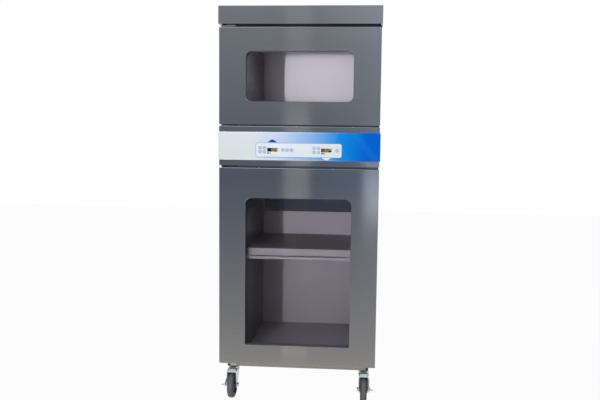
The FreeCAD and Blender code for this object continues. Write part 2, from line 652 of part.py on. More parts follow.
def control_fascia():
    """Folded box across the front between the doors, cut out behind the keypad."""
    height = ("dims.fascia_bottom", FASCIA_TOP)
    back = f"{BODY_FRONT} - dims.bracket_leg - 1"
    flange_y = (f"{BODY_FRONT} - dims.fascia_sheet", BODY_FRONT)
    parts = [hollow("fascia_shell", both_sides(DOOR_SIDE), (LABEL_BACK, back), height,
                    "dims.fascia_sheet", ["+y"])]
    flange = (f"{DOOR_SIDE} - dims.fascia_flange", DOOR_SIDE)
    wall = (f"{DOOR_SIDE} - dims.fascia_sheet", DOOR_SIDE)
    for name, sign in (("left", -1), ("right", 1)):
        parts.append(box(f"fascia_{name}_flange", on_side(flange, sign), flange_y, height))
        parts.append(box(f"fascia_{name}_wall", on_side(wall, sign), (f"{back} - 1", BODY_FRONT), height))
    keypad = box("fascia_keypad_hole", both_sides("dims.keypad_width / 2"),
                 (f"{LABEL_BACK} - 1", f"{LABEL_BACK} + 5"),
                 around("dims.keypad_centre", "dims.keypad_height"))
    keep(cut("control_fascia", fuse("fascia_joined", *parts), keypad))


def control_label():
    """Printed front plate over the fascia, with holes for the keys and the two displays."""
    owner = body("control_label")
    drawing = sketch(owner, "XZ_Plane", "label_outline", f"-{LABEL_BACK}")
    rounded_rectangle(drawing, both_sides(CAP_SIDE),
                      ("dims.label_bottom", "dims.label_bottom + dims.label_height"),
                      "dims.label_radius", "dims.label_radius")
    pad(owner, drawing, "label_plate", "dims.label_thick")
    holes = sketch(owner, "XZ_Plane", "label_holes", f"-{LABEL_FRONT}")
    for name, (x, z) in KEYS.items():
        circle(holes, x, z, "dims.key_radius + dims.key_play", name)
    for level in DISPLAYS:
        rectangle(holes, *display_span(level), prefix=f"{level}_display_")
    pocket(owner, holes, "label_holes_cut", "dims.label_thick + 1")
    keep(owner)


def key(name):
    """Round membrane key: a cap flush with its hole, a stem and a flange that keeps it in."""
    x, z = KEYS[name]
    owner = body(name)
    steps = [("cap", FRONT, "dims.key_radius", "dims.key_stem"),
             ("flange", f"{LABEL_BACK} + 0.5", "dims.key_flange", "1")]
    for step, level, radius, length in steps:
        drawing = sketch(owner, "XZ_Plane", f"{name}_{step}_round", f"-({level})")
        circle(drawing, x, z, radius)
        pad(owner, drawing, f"{name}_{step}", length, backwards=True)
    keep(owner)


def display_windows():
    """Dark lenses over the two temperature displays."""
    front = f"{LABEL_FRONT} + dims.lens_setback"
    lenses = []
    for level in DISPLAYS:
        width, height = display_span(level)
        lenses.append(box(f"{level}_lens", width, (front, f"{front} + dims.lens_thick"), height))
    keep(group("display_windows", *lenses))


def control_board():
    """Circuit board behind the keypad, with its display modules, relays and transformer."""
    front = f"({LABEL_BACK} + dims.board_standoff)"
    back = f"({front} + dims.board_thick)"
    parts = [box("board", both_sides("dims.board_width / 2"), (front, back),
                 around("dims.keypad_centre", "dims.board_height"))]
    for level in DISPLAYS:
        width, height = display_span(level, "2")
        parts.append(box(f"{level}_display_module", width, (f"{LABEL_FRONT} + 3.5", front), height))
    # centre along the board, width, how far it stands out, height and centre above the board's middle
    fitted = {
        "transformer": (-140, 50, 18, 44, 0), "terminal_row": (115, 110, 11, 14, -33),
        "relay_1": (-50, 19, 16, 16, 0), "relay_2": (-24, 19, 16, 16, 0),
        "relay_3": (2, 19, 16, 16, 0), "relay_4": (28, 19, 16, 16, 0),
    }
    for name, (x, width, depth, height, rise) in fitted.items():
        parts.append(box(name, around(x, width), (back, f"{back} + {depth}"),
                         around(f"dims.keypad_centre + {rise}", height)))
    ear = ("dims.board_width / 2 - 2", "dims.board_width / 2 + 42")
    for number, (across, up) in enumerate(CORNERS):
        z = f"dims.keypad_centre + {up} * (dims.board_height / 2 - 6)"
        parts.append(cylinder(f"standoff_{number}", "3.5", "dims.board_standoff - dims.fascia_sheet",
                              f"{across} * (dims.board_width / 2 + 36)", f"{LABEL_BACK} + dims.fascia_sheet",
                              z, "y"))
        parts.append(box(f"board_ear_{number}", on_side(ear, across), (front, back), around(z, "12")))
    keep(fuse("control_board", *parts))


# ------------------------------------------------------------------ warm air services
# the chamber's side of the service space, which way leads away from it, and the sign of the blower's X
FANS = {"upper": (SERVICE_HIGH, -1, -1), "lower": (SERVICE_LOW, 1, 1)}


def away(level, near, far):
    """Height span that starts and ends at two distances from the chamber's side of the service space."""
    face, way, _ = FANS[level]
    ends = (f"{face} + {way} * ({near})", f"{face} + {way} * ({far})")
    return ends if way > 0 else ends[::-1]


def blower_motors():
    """One motor for each chamber, in a folded bracket that stands on the insulation slab."""
    plate = "dims.impeller_height + 2 * dims.fan_gap"
    y = around("dims.blower_y", "dims.motor_bracket_depth")
    units = []
    for level, (_, _, sign) in FANS.items():
        x = f"{sign} * dims.blower_x"
        outer = "dims.ring_radius + dims.element_radius + 7"
        low, high = away(level, plate, f"{plate} + dims.bracket_sheet")
        parts = [box(f"{level}_motor_plate", around(x, f"2 * ({outer})"), y, (low, high))]
        for side in (-1, 1):
            edge = around(f"{x} + {side} * ({outer} - dims.bracket_sheet / 2)", "dims.bracket_sheet")
            parts.append(box(f"{level}_motor_leg_{side + 1}", edge, y,
                             away(level, "0", f"{plate} + dims.bracket_sheet")))
        top = f"{plate} + dims.bracket_sheet"
        case = away(level, top, f"{top} + dims.motor_height")
        shaft = away(level, "dims.fan_gap", f"{plate} + dims.bracket_sheet")
        parts.append(cylinder(f"{level}_motor_case", "dims.motor_radius", "dims.motor_height",
                              x, "dims.blower_y", case[0]))
        parts.append(cylinder(f"{level}_motor_shaft", "dims.shaft_radius", f"({shaft[1]}) - ({shaft[0]})",
                              x, "dims.blower_y", shaft[0]))
        units.append(fuse(f"{level}_blower_motor", *parts))
    keep(group("blower_motors", *units))


def impeller(level):
    """Centrifugal fan wheel: back plate with a hub, a circle of blades and an open front ring."""
    owner = body(f"{level}_impeller")
    disc = sketch(owner, "XY_Plane", f"{level}_fan_disc")
    circle(disc, "0", "0", "dims.impeller_radius")
    pad(owner, disc, f"{level}_fan_plate", "dims.fan_sheet")
    hub = sketch(owner, "XY_Plane", f"{level}_fan_hub")
    circle(hub, "0", "0", "dims.shaft_radius * 3")
    pad(owner, hub, f"{level}_fan_boss", "dims.impeller_height / 2")
    blade = sketch(owner, "XY_Plane", f"{level}_fan_blade")
    rectangle(blade, ("dims.impeller_radius - dims.blade_depth", "dims.impeller_radius - 1"),
              both_sides("dims.fan_sheet / 2"))
    first = pad(owner, blade, f"{level}_fan_blade_pad", "dims.impeller_height")
    pattern = owner.newObject("PartDesign::PolarPattern", f"{level}_fan_blades")
    pattern.Originals = [first]
    pattern.Axis = (blade, ["N_Axis"])
    pattern.Angle = 360
    pattern.setExpression("Occurrences", "dims.blades")
    owner.Tip = pattern
    doc.recompute()
    rim = sketch(owner, "XY_Plane", f"{level}_fan_rim", "dims.impeller_height - dims.fan_sheet")
    circle(rim, "0", "0", "dims.impeller_radius", "outer")
    circle(rim, "0", "0", "dims.impeller_radius - dims.blade_depth - 1", "inner")
    pad(owner, rim, f"{level}_fan_ring", "dims.fan_sheet")
    bore = sketch(owner, "XY_Plane", f"{level}_fan_bore", "dims.impeller_height + 1")
    circle(bore, "0", "0", "dims.shaft_radius + dims.pin_play")
    pocket(owner, bore, f"{level}_fan_bore_cut", "dims.impeller_height + 2")
    _, way, sign = FANS[level]
    far = "dims.fan_gap + dims.impeller_height"
    start = away(level, far, far)[0]
    place(owner, f"{sign} * dims.blower_x", "dims.blower_y", start, "z" if way < 0 else "-z")
    keep(owner)


def heaters():
    """Sheathed ring elements round the two fan wheels, with their terminal legs."""
    elements = []
    for level, (_, _, sign) in FANS.items():
        x = f"{sign} * dims.blower_x"
        middle = "dims.fan_gap + dims.impeller_height / 2"
        z = away(level, middle, middle)[0]
        loop = doc.addObject("Part::Torus", f"{level}_element_ring")
        loop.setExpression("Radius1", "dims.ring_radius")
        loop.setExpression("Radius2", "dims.element_radius")
        place(loop, x, "dims.blower_y", z)
        legs = []
        for side in (-1, 1):
            legs.append(cylinder(f"{level}_element_leg_{side + 1}", "dims.element_radius", "dims.leg_length",
                                 f"{x} + {side} * 14", "dims.blower_y + dims.ring_radius - 8", z, "y"))
        elements.append(fuse(f"{level}_element", loop, *legs))
    keep(group("heaters", *elements))


def temperature_probes():
    """Sensing rods in the left side ducts of the two chambers, each through a bushing in the liner."""
    x = f"-{LINER_SIDE} + dims.liner_sheet"
    probes = []
    for level in ("upper", "lower"):
        z = f"dims.{level}_roof - 60"
        rod = cylinder(f"{level}_probe_rod", "3", "dims.duct_gap - 8", x, "0", z, "x")
        collar = cylinder(f"{level}_probe_collar", "8", "4", x, "0", z, "x")
        probes.append(fuse(f"{level}_probe", rod, collar))
    keep(group("temperature_probes", *probes))


def power_inlet():
    """Mains inlet module with a rocker switch, set in the rear cover."""
    x, z = "dims.inlet_x", "dims.inlet_height"
    flange = box("inlet_flange", around(x, "dims.inlet_width + 8"), (BODY_BACK, f"{BODY_BACK} + 2.5"),
                 around(z, "dims.inlet_tall + 8"))
    case = box("inlet_case", around(x, "dims.inlet_width"), (f"{BODY_BACK} - 26", BODY_BACK),
               around(z, "dims.inlet_tall"))
    socket_x, rocker_x = f"{x} - dims.inlet_width / 6", f"{x} + dims.inlet_width * 0.29"
    socket = box("inlet_socket", around(socket_x, "24"), (f"{BODY_BACK} - 20", f"{BODY_BACK} + 3"),
                 around(z, "18"))
    rocker = box("inlet_rocker", around(rocker_x, "12"), (BODY_BACK, f"{BODY_BACK} + 3.8"),
                 around(z, "14"))
    blades = []
    for number, (across, up) in enumerate(((-6, 3), (0, -3.5), (6, 3))):
        blades.append(box(f"inlet_pin_{number}", around(f"{socket_x} + {across}", "2"),
                          (f"{BODY_BACK} - 21", f"{BODY_BACK} - 3"), around(f"{z} + {up}", "4")))
    keep(fuse("power_inlet", cut("inlet_body", fuse("inlet_block", flange, case), socket), rocker, *blades))


# ------------------------------------------------------------------ base frame and casters
CASTERS = dict(zip(("front_left", "front_right", "rear_left", "rear_right"), CORNERS))
BRAKED = ("front_left", "front_right")
STUD_Y, STUD_Z = "(dims.stud_back - dims.caster_trail)", "(dims.wheel_radius + dims.stud_rise)"
RACE_TOP = "(dims.base_bottom - dims.race_cap)"
RACE_LOW = f"({RACE_TOP} - dims.race_height)"


def caster_x(corner):
    return f"{CASTERS[corner][0]} * dims.caster_spacing_x / 2"


def caster_y(corner):
    return f"{CASTERS[corner][1]} * (dims.overall_depth / 2 - dims.caster_setback)"


def base_frame():
    """Four folded channels under the carcass: two across the front and back, two between them."""
    edge, inner = "dims.base_width / 2", "dims.base_width / 2 - dims.rail_width"
    end = "dims.overall_depth / 2 - dims.base_setback"
    near = f"{end} - dims.rail_width"
    height = ("dims.base_bottom", "dims.body_bottom")
    sheet = "dims.rail_sheet"
    rails = [hollow("left_rail", (f"-({edge})", f"-({inner})"), both_sides(near), height, sheet, ["+z"]),
             hollow("right_rail", (inner, edge), both_sides(near), height, sheet, ["+z"])]
    for name, depth in (("front", (f"-({end})", f"-({near})")), ("rear", (near, end))):
        rail = hollow(f"{name}_rail", both_sides(edge), depth, height, sheet, ["+z"])
        bores = []
        for side in ("left", "right"):
            corner = f"{name}_{side}"
            bores.append(cylinder(f"{corner}_stem_bore", "dims.stem_radius + dims.pin_play",
                                  f"{sheet} + 2", caster_x(corner), caster_y(corner), "dims.base_bottom - 1"))
        rails.append(cut(f"{name}_rail_bored", rail, *bores))
    keep(group("base_frame", *rails))


def caster_stems():
    """Stems that hang the casters from the base frame: capped upper race, kingpin, stem and its nut."""
    units = []
    for corner in CASTERS:
        x, y = caster_x(corner), caster_y(corner)
        race = cone(f"{corner}_race", "dims.race_radius - 4", "dims.race_radius", "dims.race_height",
                    x, y, RACE_LOW)
        cap = cylinder(f"{corner}_race_cap", "dims.race_radius", "dims.race_cap", x, y, RACE_TOP)
        low = "dims.fork_top - dims.fork_sheet"
        stem = cylinder(f"{corner}_stem", "dims.stem_radius",
                        f"dims.base_bottom + dims.stem_rise - ({low})", x, y, low)
        nut = hexagon(f"{corner}_stem_nut", "dims.head_radius", "dims.head_length",
                      x, y, "dims.base_bottom + dims.rail_sheet", "z")
        units.append(fuse(f"{corner}_caster_stem", race, cap, stem, nut))
    keep(group("caster_stems", *units))


def caster_fork(corner):
    """Swivelling fork with its lower ball race, the axle bolt and, in front, the brake stud."""
    x, y = caster_x(corner), caster_y(corner)
    half, axle_y, axle_z = "dims.fork_half", "-dims.caster_trail", "dims.wheel_radius"
    crown = "dims.race_radius"
    outline = [
        (f"{axle_y} - 8", f"{axle_z} - 14"), (f"{axle_y} + 8", f"{axle_z} - 14"),
        (f"{axle_y} + 14", f"{axle_z} - 6"), (f"{axle_y} + 18", f"{axle_z} + 10"),
        (crown, "dims.fork_top - 14"), (crown, "dims.fork_top"), (f"-{crown} - 26", "dims.fork_top"),
        (f"-{crown} - 32", "dims.fork_top - 16"), (f"{axle_y} - 18", f"{axle_z} + 10"),
        (f"{axle_y} - 14", f"{axle_z} - 6"),
    ]
    owner = body(f"{corner}_fork_frame")
    drawing = sketch(owner, "YZ_Plane", f"{corner}_fork_side", f"-{half}")
    polygon(drawing, outline)
    pad(owner, drawing, f"{corner}_fork_block", f"2 * {half}")
    gap = sketch(owner, "YZ_Plane", f"{corner}_fork_gap", f"{half} - dims.fork_sheet")
    rectangle(gap, ("-100", "60"), ("20", "dims.fork_top - dims.fork_sheet"))
    pocket(owner, gap, f"{corner}_fork_gap_cut", f"2 * ({half} - dims.fork_sheet)")
    place(owner, x, y, "0")
    race = cylinder(f"{corner}_lower_race", "dims.race_radius",
                    f"{RACE_LOW} - dims.race_gap - dims.fork_top", x, y, "dims.fork_top")
    bore = cylinder(f"{corner}_kingpin_bore", "dims.stem_radius + dims.pin_play", "40",
                    x, y, "dims.fork_top - 20")
    wheel_y = f"{y} - dims.caster_trail"
    axle = cylinder(f"{corner}_axle", "dims.axle_radius", f"2 * {half} - 2",
                    f"{x} - {half} + 1", wheel_y, axle_z, "x")
    head = hexagon(f"{corner}_axle_head", "dims.head_radius", "dims.head_length",
                   f"{x} + {half} - 0.5", wheel_y, axle_z)
    nut = hexagon(f"{corner}_axle_nut", "dims.head_radius", "dims.head_length",
                  f"{x} - {half} - dims.head_length + 0.5", wheel_y, axle_z)
    parts = [owner, race, axle, head, nut]
    if corner in BRAKED:
        stud_x = on_side((f"{half} - 1", f"{half} + 6"), CASTERS[corner][0])[0]
        parts.append(cylinder(f"{corner}_brake_stud", "dims.stud_radius", "7",
                              f"{x} + {stud_x}", f"{y} + {STUD_Y}", STUD_Z, "x"))
    keep(cut(f"{corner}_fork", fuse(f"{corner}_fork_joined", *parts), bore))


def brake_lever(corner):
    """Stamped side pedal that turns on the fork's stud and bears on the wheel."""
    x, y = caster_x(corner), caster_y(corner)
    side = CASTERS[corner][0]
    near = "(dims.fork_half + dims.brake_gap)"
    sheet = on_side((near, f"{near} + dims.brake_sheet"), side)
    owner = body(f"{corner}_brake_arm")
    drawing = sketch(owner, "YZ_Plane", f"{corner}_brake_outline", sheet[0])
    arm = [(10, -8), (10, 8), (-8, 9), (-44, -7), (-62, -15), (-62, -27), (-52, -27), (-38, -22), (-8, -9)]
    polygon(drawing, [(f"{STUD_Y} + {along}", f"{STUD_Z} + {up}") for along, up in arm])
    pad(owner, drawing, f"{corner}_brake_sheet", "dims.brake_sheet")
    place(owner, x, y, "0")
    span = on_side((near, f"{near} + dims.pedal_width"), side)
    pedal = box(f"{corner}_brake_pedal", (f"{x} + {span[0]}", f"{x} + {span[1]}"),
                (f"{y} + {STUD_Y} - 62", f"{y} + {STUD_Y} - 52"), (f"{STUD_Z} - 24", f"{STUD_Z} - 20"))
    bore = cylinder(f"{corner}_brake_bore", "dims.stud_radius + dims.pin_play", "dims.brake_sheet + 2",
                    f"{x} + {sheet[0]} - 1", f"{y} + {STUD_Y}", STUD_Z, "x")
    keep(cut(f"{corner}_brake_lever", fuse(f"{corner}_brake_joined", owner, pedal), bore))


def caster_wheel(corner):
    """Wheel with its rubber tread bonded to the core, turned about the axle."""
    owner = body(f"{corner}_wheel")
    half, tread = "dims.hub_width / 2", "dims.wheel_width / 2"
    bore = "dims.axle_radius + dims.pin_play"
    outline = [(f"-{half}", bore), (half, bore), (half, "17"), ("8", "20"), ("8", "44"), (tread, "47"),
               (tread, "dims.wheel_radius - 9"), (f"{tread} - 4", "dims.wheel_radius - 2"),
               (f"{tread} - 9", "dims.wheel_radius"), (f"-{tread} + 9", "dims.wheel_radius"),
               (f"-{tread} + 4", "dims.wheel_radius - 2"), (f"-{tread}", "dims.wheel_radius - 9"),
               (f"-{tread}", "47"), ("-8", "44"), ("-8", "20"), (f"-{half}", "17")]
    drawing = sketch(owner, "XY_Plane", f"{corner}_wheel_section")
    polygon(drawing, outline)
    revolve(owner, drawing, f"{corner}_wheel_round", "H_Axis")
    place(owner, caster_x(corner), f"{caster_y(corner)} - dims.caster_trail", "dims.wheel_radius")
    keep(owner)


# ------------------------------------------------------------------ assembly
top_cap()
side_panel("left", -1)
side_panel("right", 1)
back_panel()
front_frame()
bottom_pan()
insulation()
for chamber in ("upper", "lower"):
    chamber_liner(chamber)
    air_ducts(chamber)
    door_skin(chamber)
    door_pan(chamber)
    door_panes(chamber)
    window_seal(chamber)
    door_gasket(chamber)
    hinge_blocks(chamber)
    impeller(chamber)
shelf()
shelf_rack()
hinge_brackets()
control_fascia()
control_label()
for key_name in KEYS:
    key(key_name)
display_windows()
control_board()
blower_motors()
heaters()
temperature_probes()
power_inlet()
base_frame()
caster_stems()
for place_name in CASTERS:
    caster_fork(place_name)
    caster_wheel(place_name)
for place_name in BRAKED:
    brake_lever(place_name)
doc.recompute()

# ------------------------------------------------------------------ checks and files
failed = [item.Label for item in doc.Objects if "Invalid" in item.State or "Error" in item.State]
if failed:
    raise RuntimeError(f"these objects didn't compute: {failed}")
for label, piece in NODES.items():
    if piece.Shape.isNull() or not piece.Shape.isValid() or not piece.Shape.Solids:
        raise RuntimeError(f"{label} has no valid shape")
os.makedirs("parts", exist_ok=True)
for label, piece in NODES.items():
    piece.Shape.exportStep(f"parts/{label}.step")
whole = Part.makeCompound([piece.Shape for piece in NODES.values()]).BoundBox
print(f"{len(NODES)} sub-parts, {whole.XLength:.2f} x {whole.YLength:.2f} x {whole.ZLength:.2f} mm")
print(f"centre {whole.Center.x:.2f}, {whole.Center.y:.2f}, lowest {whole.ZMin:.2f}")
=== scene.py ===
"""Blanket warming cabinet: the finishes and fine pieces that dress its frame.

Lengths are metres in the frame's own place: +Z up, X to the right as seen from the doors, which face -Y.
"""

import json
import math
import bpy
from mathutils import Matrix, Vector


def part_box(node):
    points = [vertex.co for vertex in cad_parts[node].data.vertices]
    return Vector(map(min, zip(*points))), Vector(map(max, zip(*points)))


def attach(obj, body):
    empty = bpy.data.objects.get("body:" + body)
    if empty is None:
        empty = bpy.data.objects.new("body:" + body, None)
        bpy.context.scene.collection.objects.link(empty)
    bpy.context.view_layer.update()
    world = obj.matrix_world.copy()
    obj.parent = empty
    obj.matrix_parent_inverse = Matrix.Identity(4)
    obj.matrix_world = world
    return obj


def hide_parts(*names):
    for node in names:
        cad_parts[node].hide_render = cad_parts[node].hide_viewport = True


bl_info = {
    "name": "Blanket Warming Cabinet",
    "version": (1, 0, 0),
    "blender": (4, 5, 0),
    "location": "3D View > Sidebar > Cabinet",
    "description": "Dresses the frame of a two-chamber warming cabinet with its finishes and details",
    "category": "Object",
}

import bmesh
import bpy
from bpy.props import FloatProperty, FloatVectorProperty, IntProperty, PointerProperty, StringProperty
from mathutils import Matrix, Vector
from mathutils.geometry import tessellate_polygon

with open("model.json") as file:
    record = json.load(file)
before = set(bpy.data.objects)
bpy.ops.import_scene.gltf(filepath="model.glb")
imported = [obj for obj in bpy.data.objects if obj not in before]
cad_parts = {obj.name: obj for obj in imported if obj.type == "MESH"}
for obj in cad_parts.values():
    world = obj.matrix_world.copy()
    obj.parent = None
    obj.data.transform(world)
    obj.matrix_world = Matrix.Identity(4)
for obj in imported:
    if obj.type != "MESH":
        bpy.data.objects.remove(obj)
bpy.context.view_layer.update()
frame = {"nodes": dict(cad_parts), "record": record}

MM = 0.001
NODES = frame["nodes"]
BOX = {node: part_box(node) for node in NODES}
SLOT_OF = {part["node"]: part["material_slot"] for part in frame["record"]["subparts"]}
BODY_OF = {node: body for body, nodes in frame["record"]["behaviour"]["bodies"].items() for node in nodes}
LEVELS = ("upper", "lower")
CASTERS = ("front_left", "front_right", "rear_left", "rear_right")
KEYS = sorted(node for node in NODES if node.endswith("_key"))

# sizes of the frame that no node's box gives
DISPLAY_X = {"upper": -124 * MM, "lower": 130 * MM}
DISPLAY_WIDTH, DISPLAY_HEIGHT = 48 * MM, 17 * MM
WINDOW_SIDE = 252 * MM
WINDOW_RADII = {"upper": (22 * MM, 22 * MM), "lower": (5 * MM, 22 * MM)}
PANE_LAP = 16 * MM
DUCT_FACE = 256 * MM
CASTER_TRAIL = 35 * MM


def middle(node):
    """The centre of a node's box."""
    low, high = BOX[node]
    return (low + high) / 2


def shade(red, green, blue):
    """A colour written as it looks on a screen, 0 to 255, as the linear numbers that shaders use."""
    shares = (channel / 255 for channel in (red, green, blue))
    return tuple(share / 12.92 if share <= 0.04045 else ((share + 0.055) / 1.055) ** 2.4 for share in shares)


def tint(name, description, red, green, blue):
    """A colour setting."""
    return FloatVectorProperty(name=name, description=description, subtype="COLOR", size=3,
                               min=0, max=1, default=shade(red, green, blue))


def number(name, description, default, least=0.0, **more):
    """A plain number setting."""
    return FloatProperty(name=name, description=description, default=default, min=least, **more)


def size(name, description, millimetres):
    """A length setting."""
    return number(name, description, millimetres * MM, subtype="DISTANCE", unit="LENGTH")


# ------------------------------------------------------------------ settings
class CabinetFinish(bpy.types.PropertyGroup):
    """Colours of the sheet metal, paint, plastic and rubber."""
    # the four steel colours below are painted reflection, what the sheets mirror at each height and side
    steel_head: tint("Steel at the top", "Outer sheets near the cap", 110, 113, 119)
    steel_waist: tint("Steel at the waist", "Outer sheets at the height of the keypad", 77, 84, 97)
    steel_foot: tint("Steel at the foot", "Outer sheets near the floor", 137, 135, 132)
    steel_side: tint("Steel at the sides", "Outer sheets that face away from the front", 140, 143, 148)
    # painted highlight on the folded corners
    steel_fold: tint("Painted fold highlight", "Folded corners of the outer sheets", 184, 188, 196)
    # painted shade: the face behind the doors is darkened, as it is seen in shadow in the gaps
    front_frame: tint("Front frame", "Face behind the doors", 66, 74, 93)
    fluid_chamber: tint("Upper chamber", "Liner of the upper chamber", 209, 209, 215)
    # painted shade: the lower chamber's liner is a darker copy of the upper one
    blanket_chamber: tint("Lower chamber", "Liner of the lower chamber", 150, 147, 156)
    ducts: tint("Air ducts", "Perforated sheet at the chambers' sides", 96, 93, 103)
    shelf: tint("Shelf", "Shelf and its rack", 128, 127, 130)
    base: tint("Base paint", "Frame under the cabinet", 196, 187, 180)
    zinc: tint("Zinc plate", "Caster forks, stems and brake levers", 204, 212, 219)
    # painted highlight: the tread colour is the pale middle of the tyre
    tread: tint("Wheel tread", "Rubber tyre of the casters, along the middle of its tread", 128, 128, 134)
    core: tint("Wheel core", "Moulded core of the casters", 62, 64, 70)
    grain: number("Grain", "Contrast of the brushed lines", 0.1, max=1, subtype="FACTOR")


class CabinetLabel(bpy.types.PropertyGroup):
    """Print of the control label, from left to right, and of what is on it."""
    left: tint("Left end", "Label colour at its left end", 214, 222, 226)
    pale: tint("Pale part", "Label colour under the left half of the keys", 196, 211, 237)
    centre: tint("Centre", "Label colour at its middle", 142, 181, 232)
    bright: tint("Bright part", "Label colour right of the keys", 16, 142, 229)
    right: tint("Right end", "Label colour at its right end", 0, 102, 215)
    panel: tint("Keypad panel", "Panel behind the keys", 224, 232, 238)
    ink: tint("Blue ink", "Outline and key rings", 80, 130, 200)
    deep_ink: tint("Deep blue ink", "Arrow of the upper chamber", 0, 66, 186)
    pale_ink: tint("Pale ink", "Key symbols, and rings on the right of the panel", 158, 170, 196)
    glow: tint("Digits", "Lit segments of the displays", 255, 196, 62)
    upper_reading: StringProperty(name="Upper reading", description="Left display", default=" 104")
    lower_reading: StringProperty(name="Lower reading", description="Right display", default="130'")


class CabinetDetails(bpy.types.PropertyGroup):
    """Sizes of the folds, screws, louvres and wheels."""
    fold: size("Fold radius", "Outside radius of the folded sheets", 2.1)
    edge: size("Edge break", "Width of the broken edge on cut sheets and blocks", 0.4)
    screw_radius: size("Screw head radius", "Radius of a pan head", 4.2)
    screw_rise: size("Screw head height", "How far a pan head stands out", 2.2)
    louvre: size("Louvre depth", "How far a louvre stands out of the rear cover", 3.6)
    ribs: IntProperty(name="Wheel ribs", description="Ribs on each side of a wheel core", default=9,
                      min=3, max=24)
    print_thick: size("Print thickness", "Thickness of the printed parts of the label", 0.12)


class CabinetStudio(bpy.types.PropertyGroup):
    """Camera, lamps and floor."""
    place: FloatVectorProperty(name="Camera place", description="Where the camera stands", size=3,
                               subtype="TRANSLATION", unit="LENGTH", default=(0.2899, -3.2460, 1.2468))
    turn: FloatVectorProperty(name="Camera turn", description="Yaw to the left, pitch down and roll",
                              size=3, subtype="EULER", unit="ROTATION", default=(0.06765, 0.08550, 0.01312))
    lens: number("Lens", "Focal length on a 36 mm sensor", 37.38, least=10, max=200, unit="CAMERA")
    shift: number("Shift", "Sideways shift of the picture", -0.0295, least=-1)
    fill: number("Fill", "Strength of the room's light", 0.21)
    flash: number("Flash", "Power of the lamp at the front left", 11.75, unit="POWER")
    top: number("Top lamp", "Power of the soft lamp above the front", 16, unit="POWER")
    rear: number("Rear lamp", "Power of the soft lamp behind the cabinet", 24, unit="POWER")
    sheen: number("Sheen", "Radiance of the tall strip mirrored in the doors", 0.2)
    floor: tint("Floor", "Floor under the cabinet", 252, 252, 252)


SETTINGS = {"cabinet_finish": CabinetFinish, "cabinet_label": CabinetLabel,
            "cabinet_details": CabinetDetails, "cabinet_studio": CabinetStudio}


# ------------------------------------------------------------------ node trees
def add(tree, kind, values=None, **settings):
    """A node with its settings, and with the values or links of its inputs by name or number."""
    item = tree.nodes.new(kind)
    for name, setting in settings.items():
        setattr(item, name, setting)
    for key, source in (values or {}).items():
        if isinstance(source, bpy.types.NodeSocket):
            tree.links.new(source, item.inputs[key])
        else:
            item.inputs[key].default_value = source
    return item


def calculate(tree, operation, *values):
    """The result of a Math node."""
    return add(tree, "ShaderNodeMath", dict(enumerate(values)), operation=operation).outputs[0]


def times(tree, first, second):
    """The product of two values."""
    return calculate(tree, "MULTIPLY", first, second)


def blend(tree, factor, first, second, mode="MIX"):
    """Two colours mixed; a colour given as numbers is opaque."""
    first, second = (colour if isinstance(colour, bpy.types.NodeSocket) else (*colour[:3], 1)
                     for colour in (first, second))
    item = add(tree, "ShaderNodeMix", {0: factor, 6: first, 7: second}, data_type="RGBA", blend_type=mode)
    return item.outputs[2]


def scaled(tree, colour, factor):
    """A colour made lighter or darker by a pattern."""
    even = add(tree, "ShaderNodeCombineColor", {0: factor, 1: factor, 2: factor}).outputs[0]
    return blend(tree, 1.0, colour, even, "MULTIPLY")


def spread(tree, value, start, end, low=0.0, high=1.0):
    """A value mapped from one span to another, and held at its ends."""
    return add(tree, "ShaderNodeMapRange", {"Value": value, "From Min": start, "From Max": end,
                                            "To Min": low, "To Max": high}).outputs[0]


def between(tree, pattern, low, high):
    """A pattern of 0 to 1 made to run from one value to another."""
    return spread(tree, pattern, 0.0, 1.0, low, high)


def spot(tree, **parts):
    """A vector of X, Y and Z parts."""
    return add(tree, "ShaderNodeCombineXYZ", parts).outputs[0]


def located(tree, output="Object"):
    """The object's own coordinates, or its surface normal."""
    return add(tree, "ShaderNodeTexCoord").outputs[output]


def axes(tree, output="Object"):
    """The X, Y and Z parts of the object's own coordinates, or of its surface normal."""
    return add(tree, "ShaderNodeSeparateXYZ", {0: located(tree, output)}).outputs


def noise(tree, scale, detail=2.0, roughness=0.5, vector=None):
    """A noise pattern on object coordinates or on a given vector."""
    vector = vector or located(tree)
    return add(tree, "ShaderNodeTexNoise", {"Vector": vector, "Scale": scale, "Detail": detail,
                                            "Roughness": roughness}).outputs[0]


def bump(tree, height, strength, distance):
    """A normal raised by a height pattern."""
    return add(tree, "ShaderNodeBump", {"Height": height, "Strength": strength,
                                        "Distance": distance}).outputs[0]


def new_group(name, inputs, outputs, kind="ShaderNodeTree"):
    """An empty node group with the sockets of its input and output nodes."""
    tree = bpy.data.node_groups.new(name, kind)
    for label, (socket, default) in inputs.items():
        item = tree.interface.new_socket(name=label, in_out="INPUT", socket_type=socket)
        if default is not None:
            item.default_value = default
    for label, socket in outputs.items():
        tree.interface.new_socket(name=label, in_out="OUTPUT", socket_type=socket)
    return tree, tree.nodes.new("NodeGroupInput").outputs, tree.nodes.new("NodeGroupOutput").inputs


def use_group(tree, name, **values):
    """The outputs of a shader group placed in a material."""
    return add(tree, "ShaderNodeGroup", values, node_tree=bpy.data.node_groups[name]).outputs


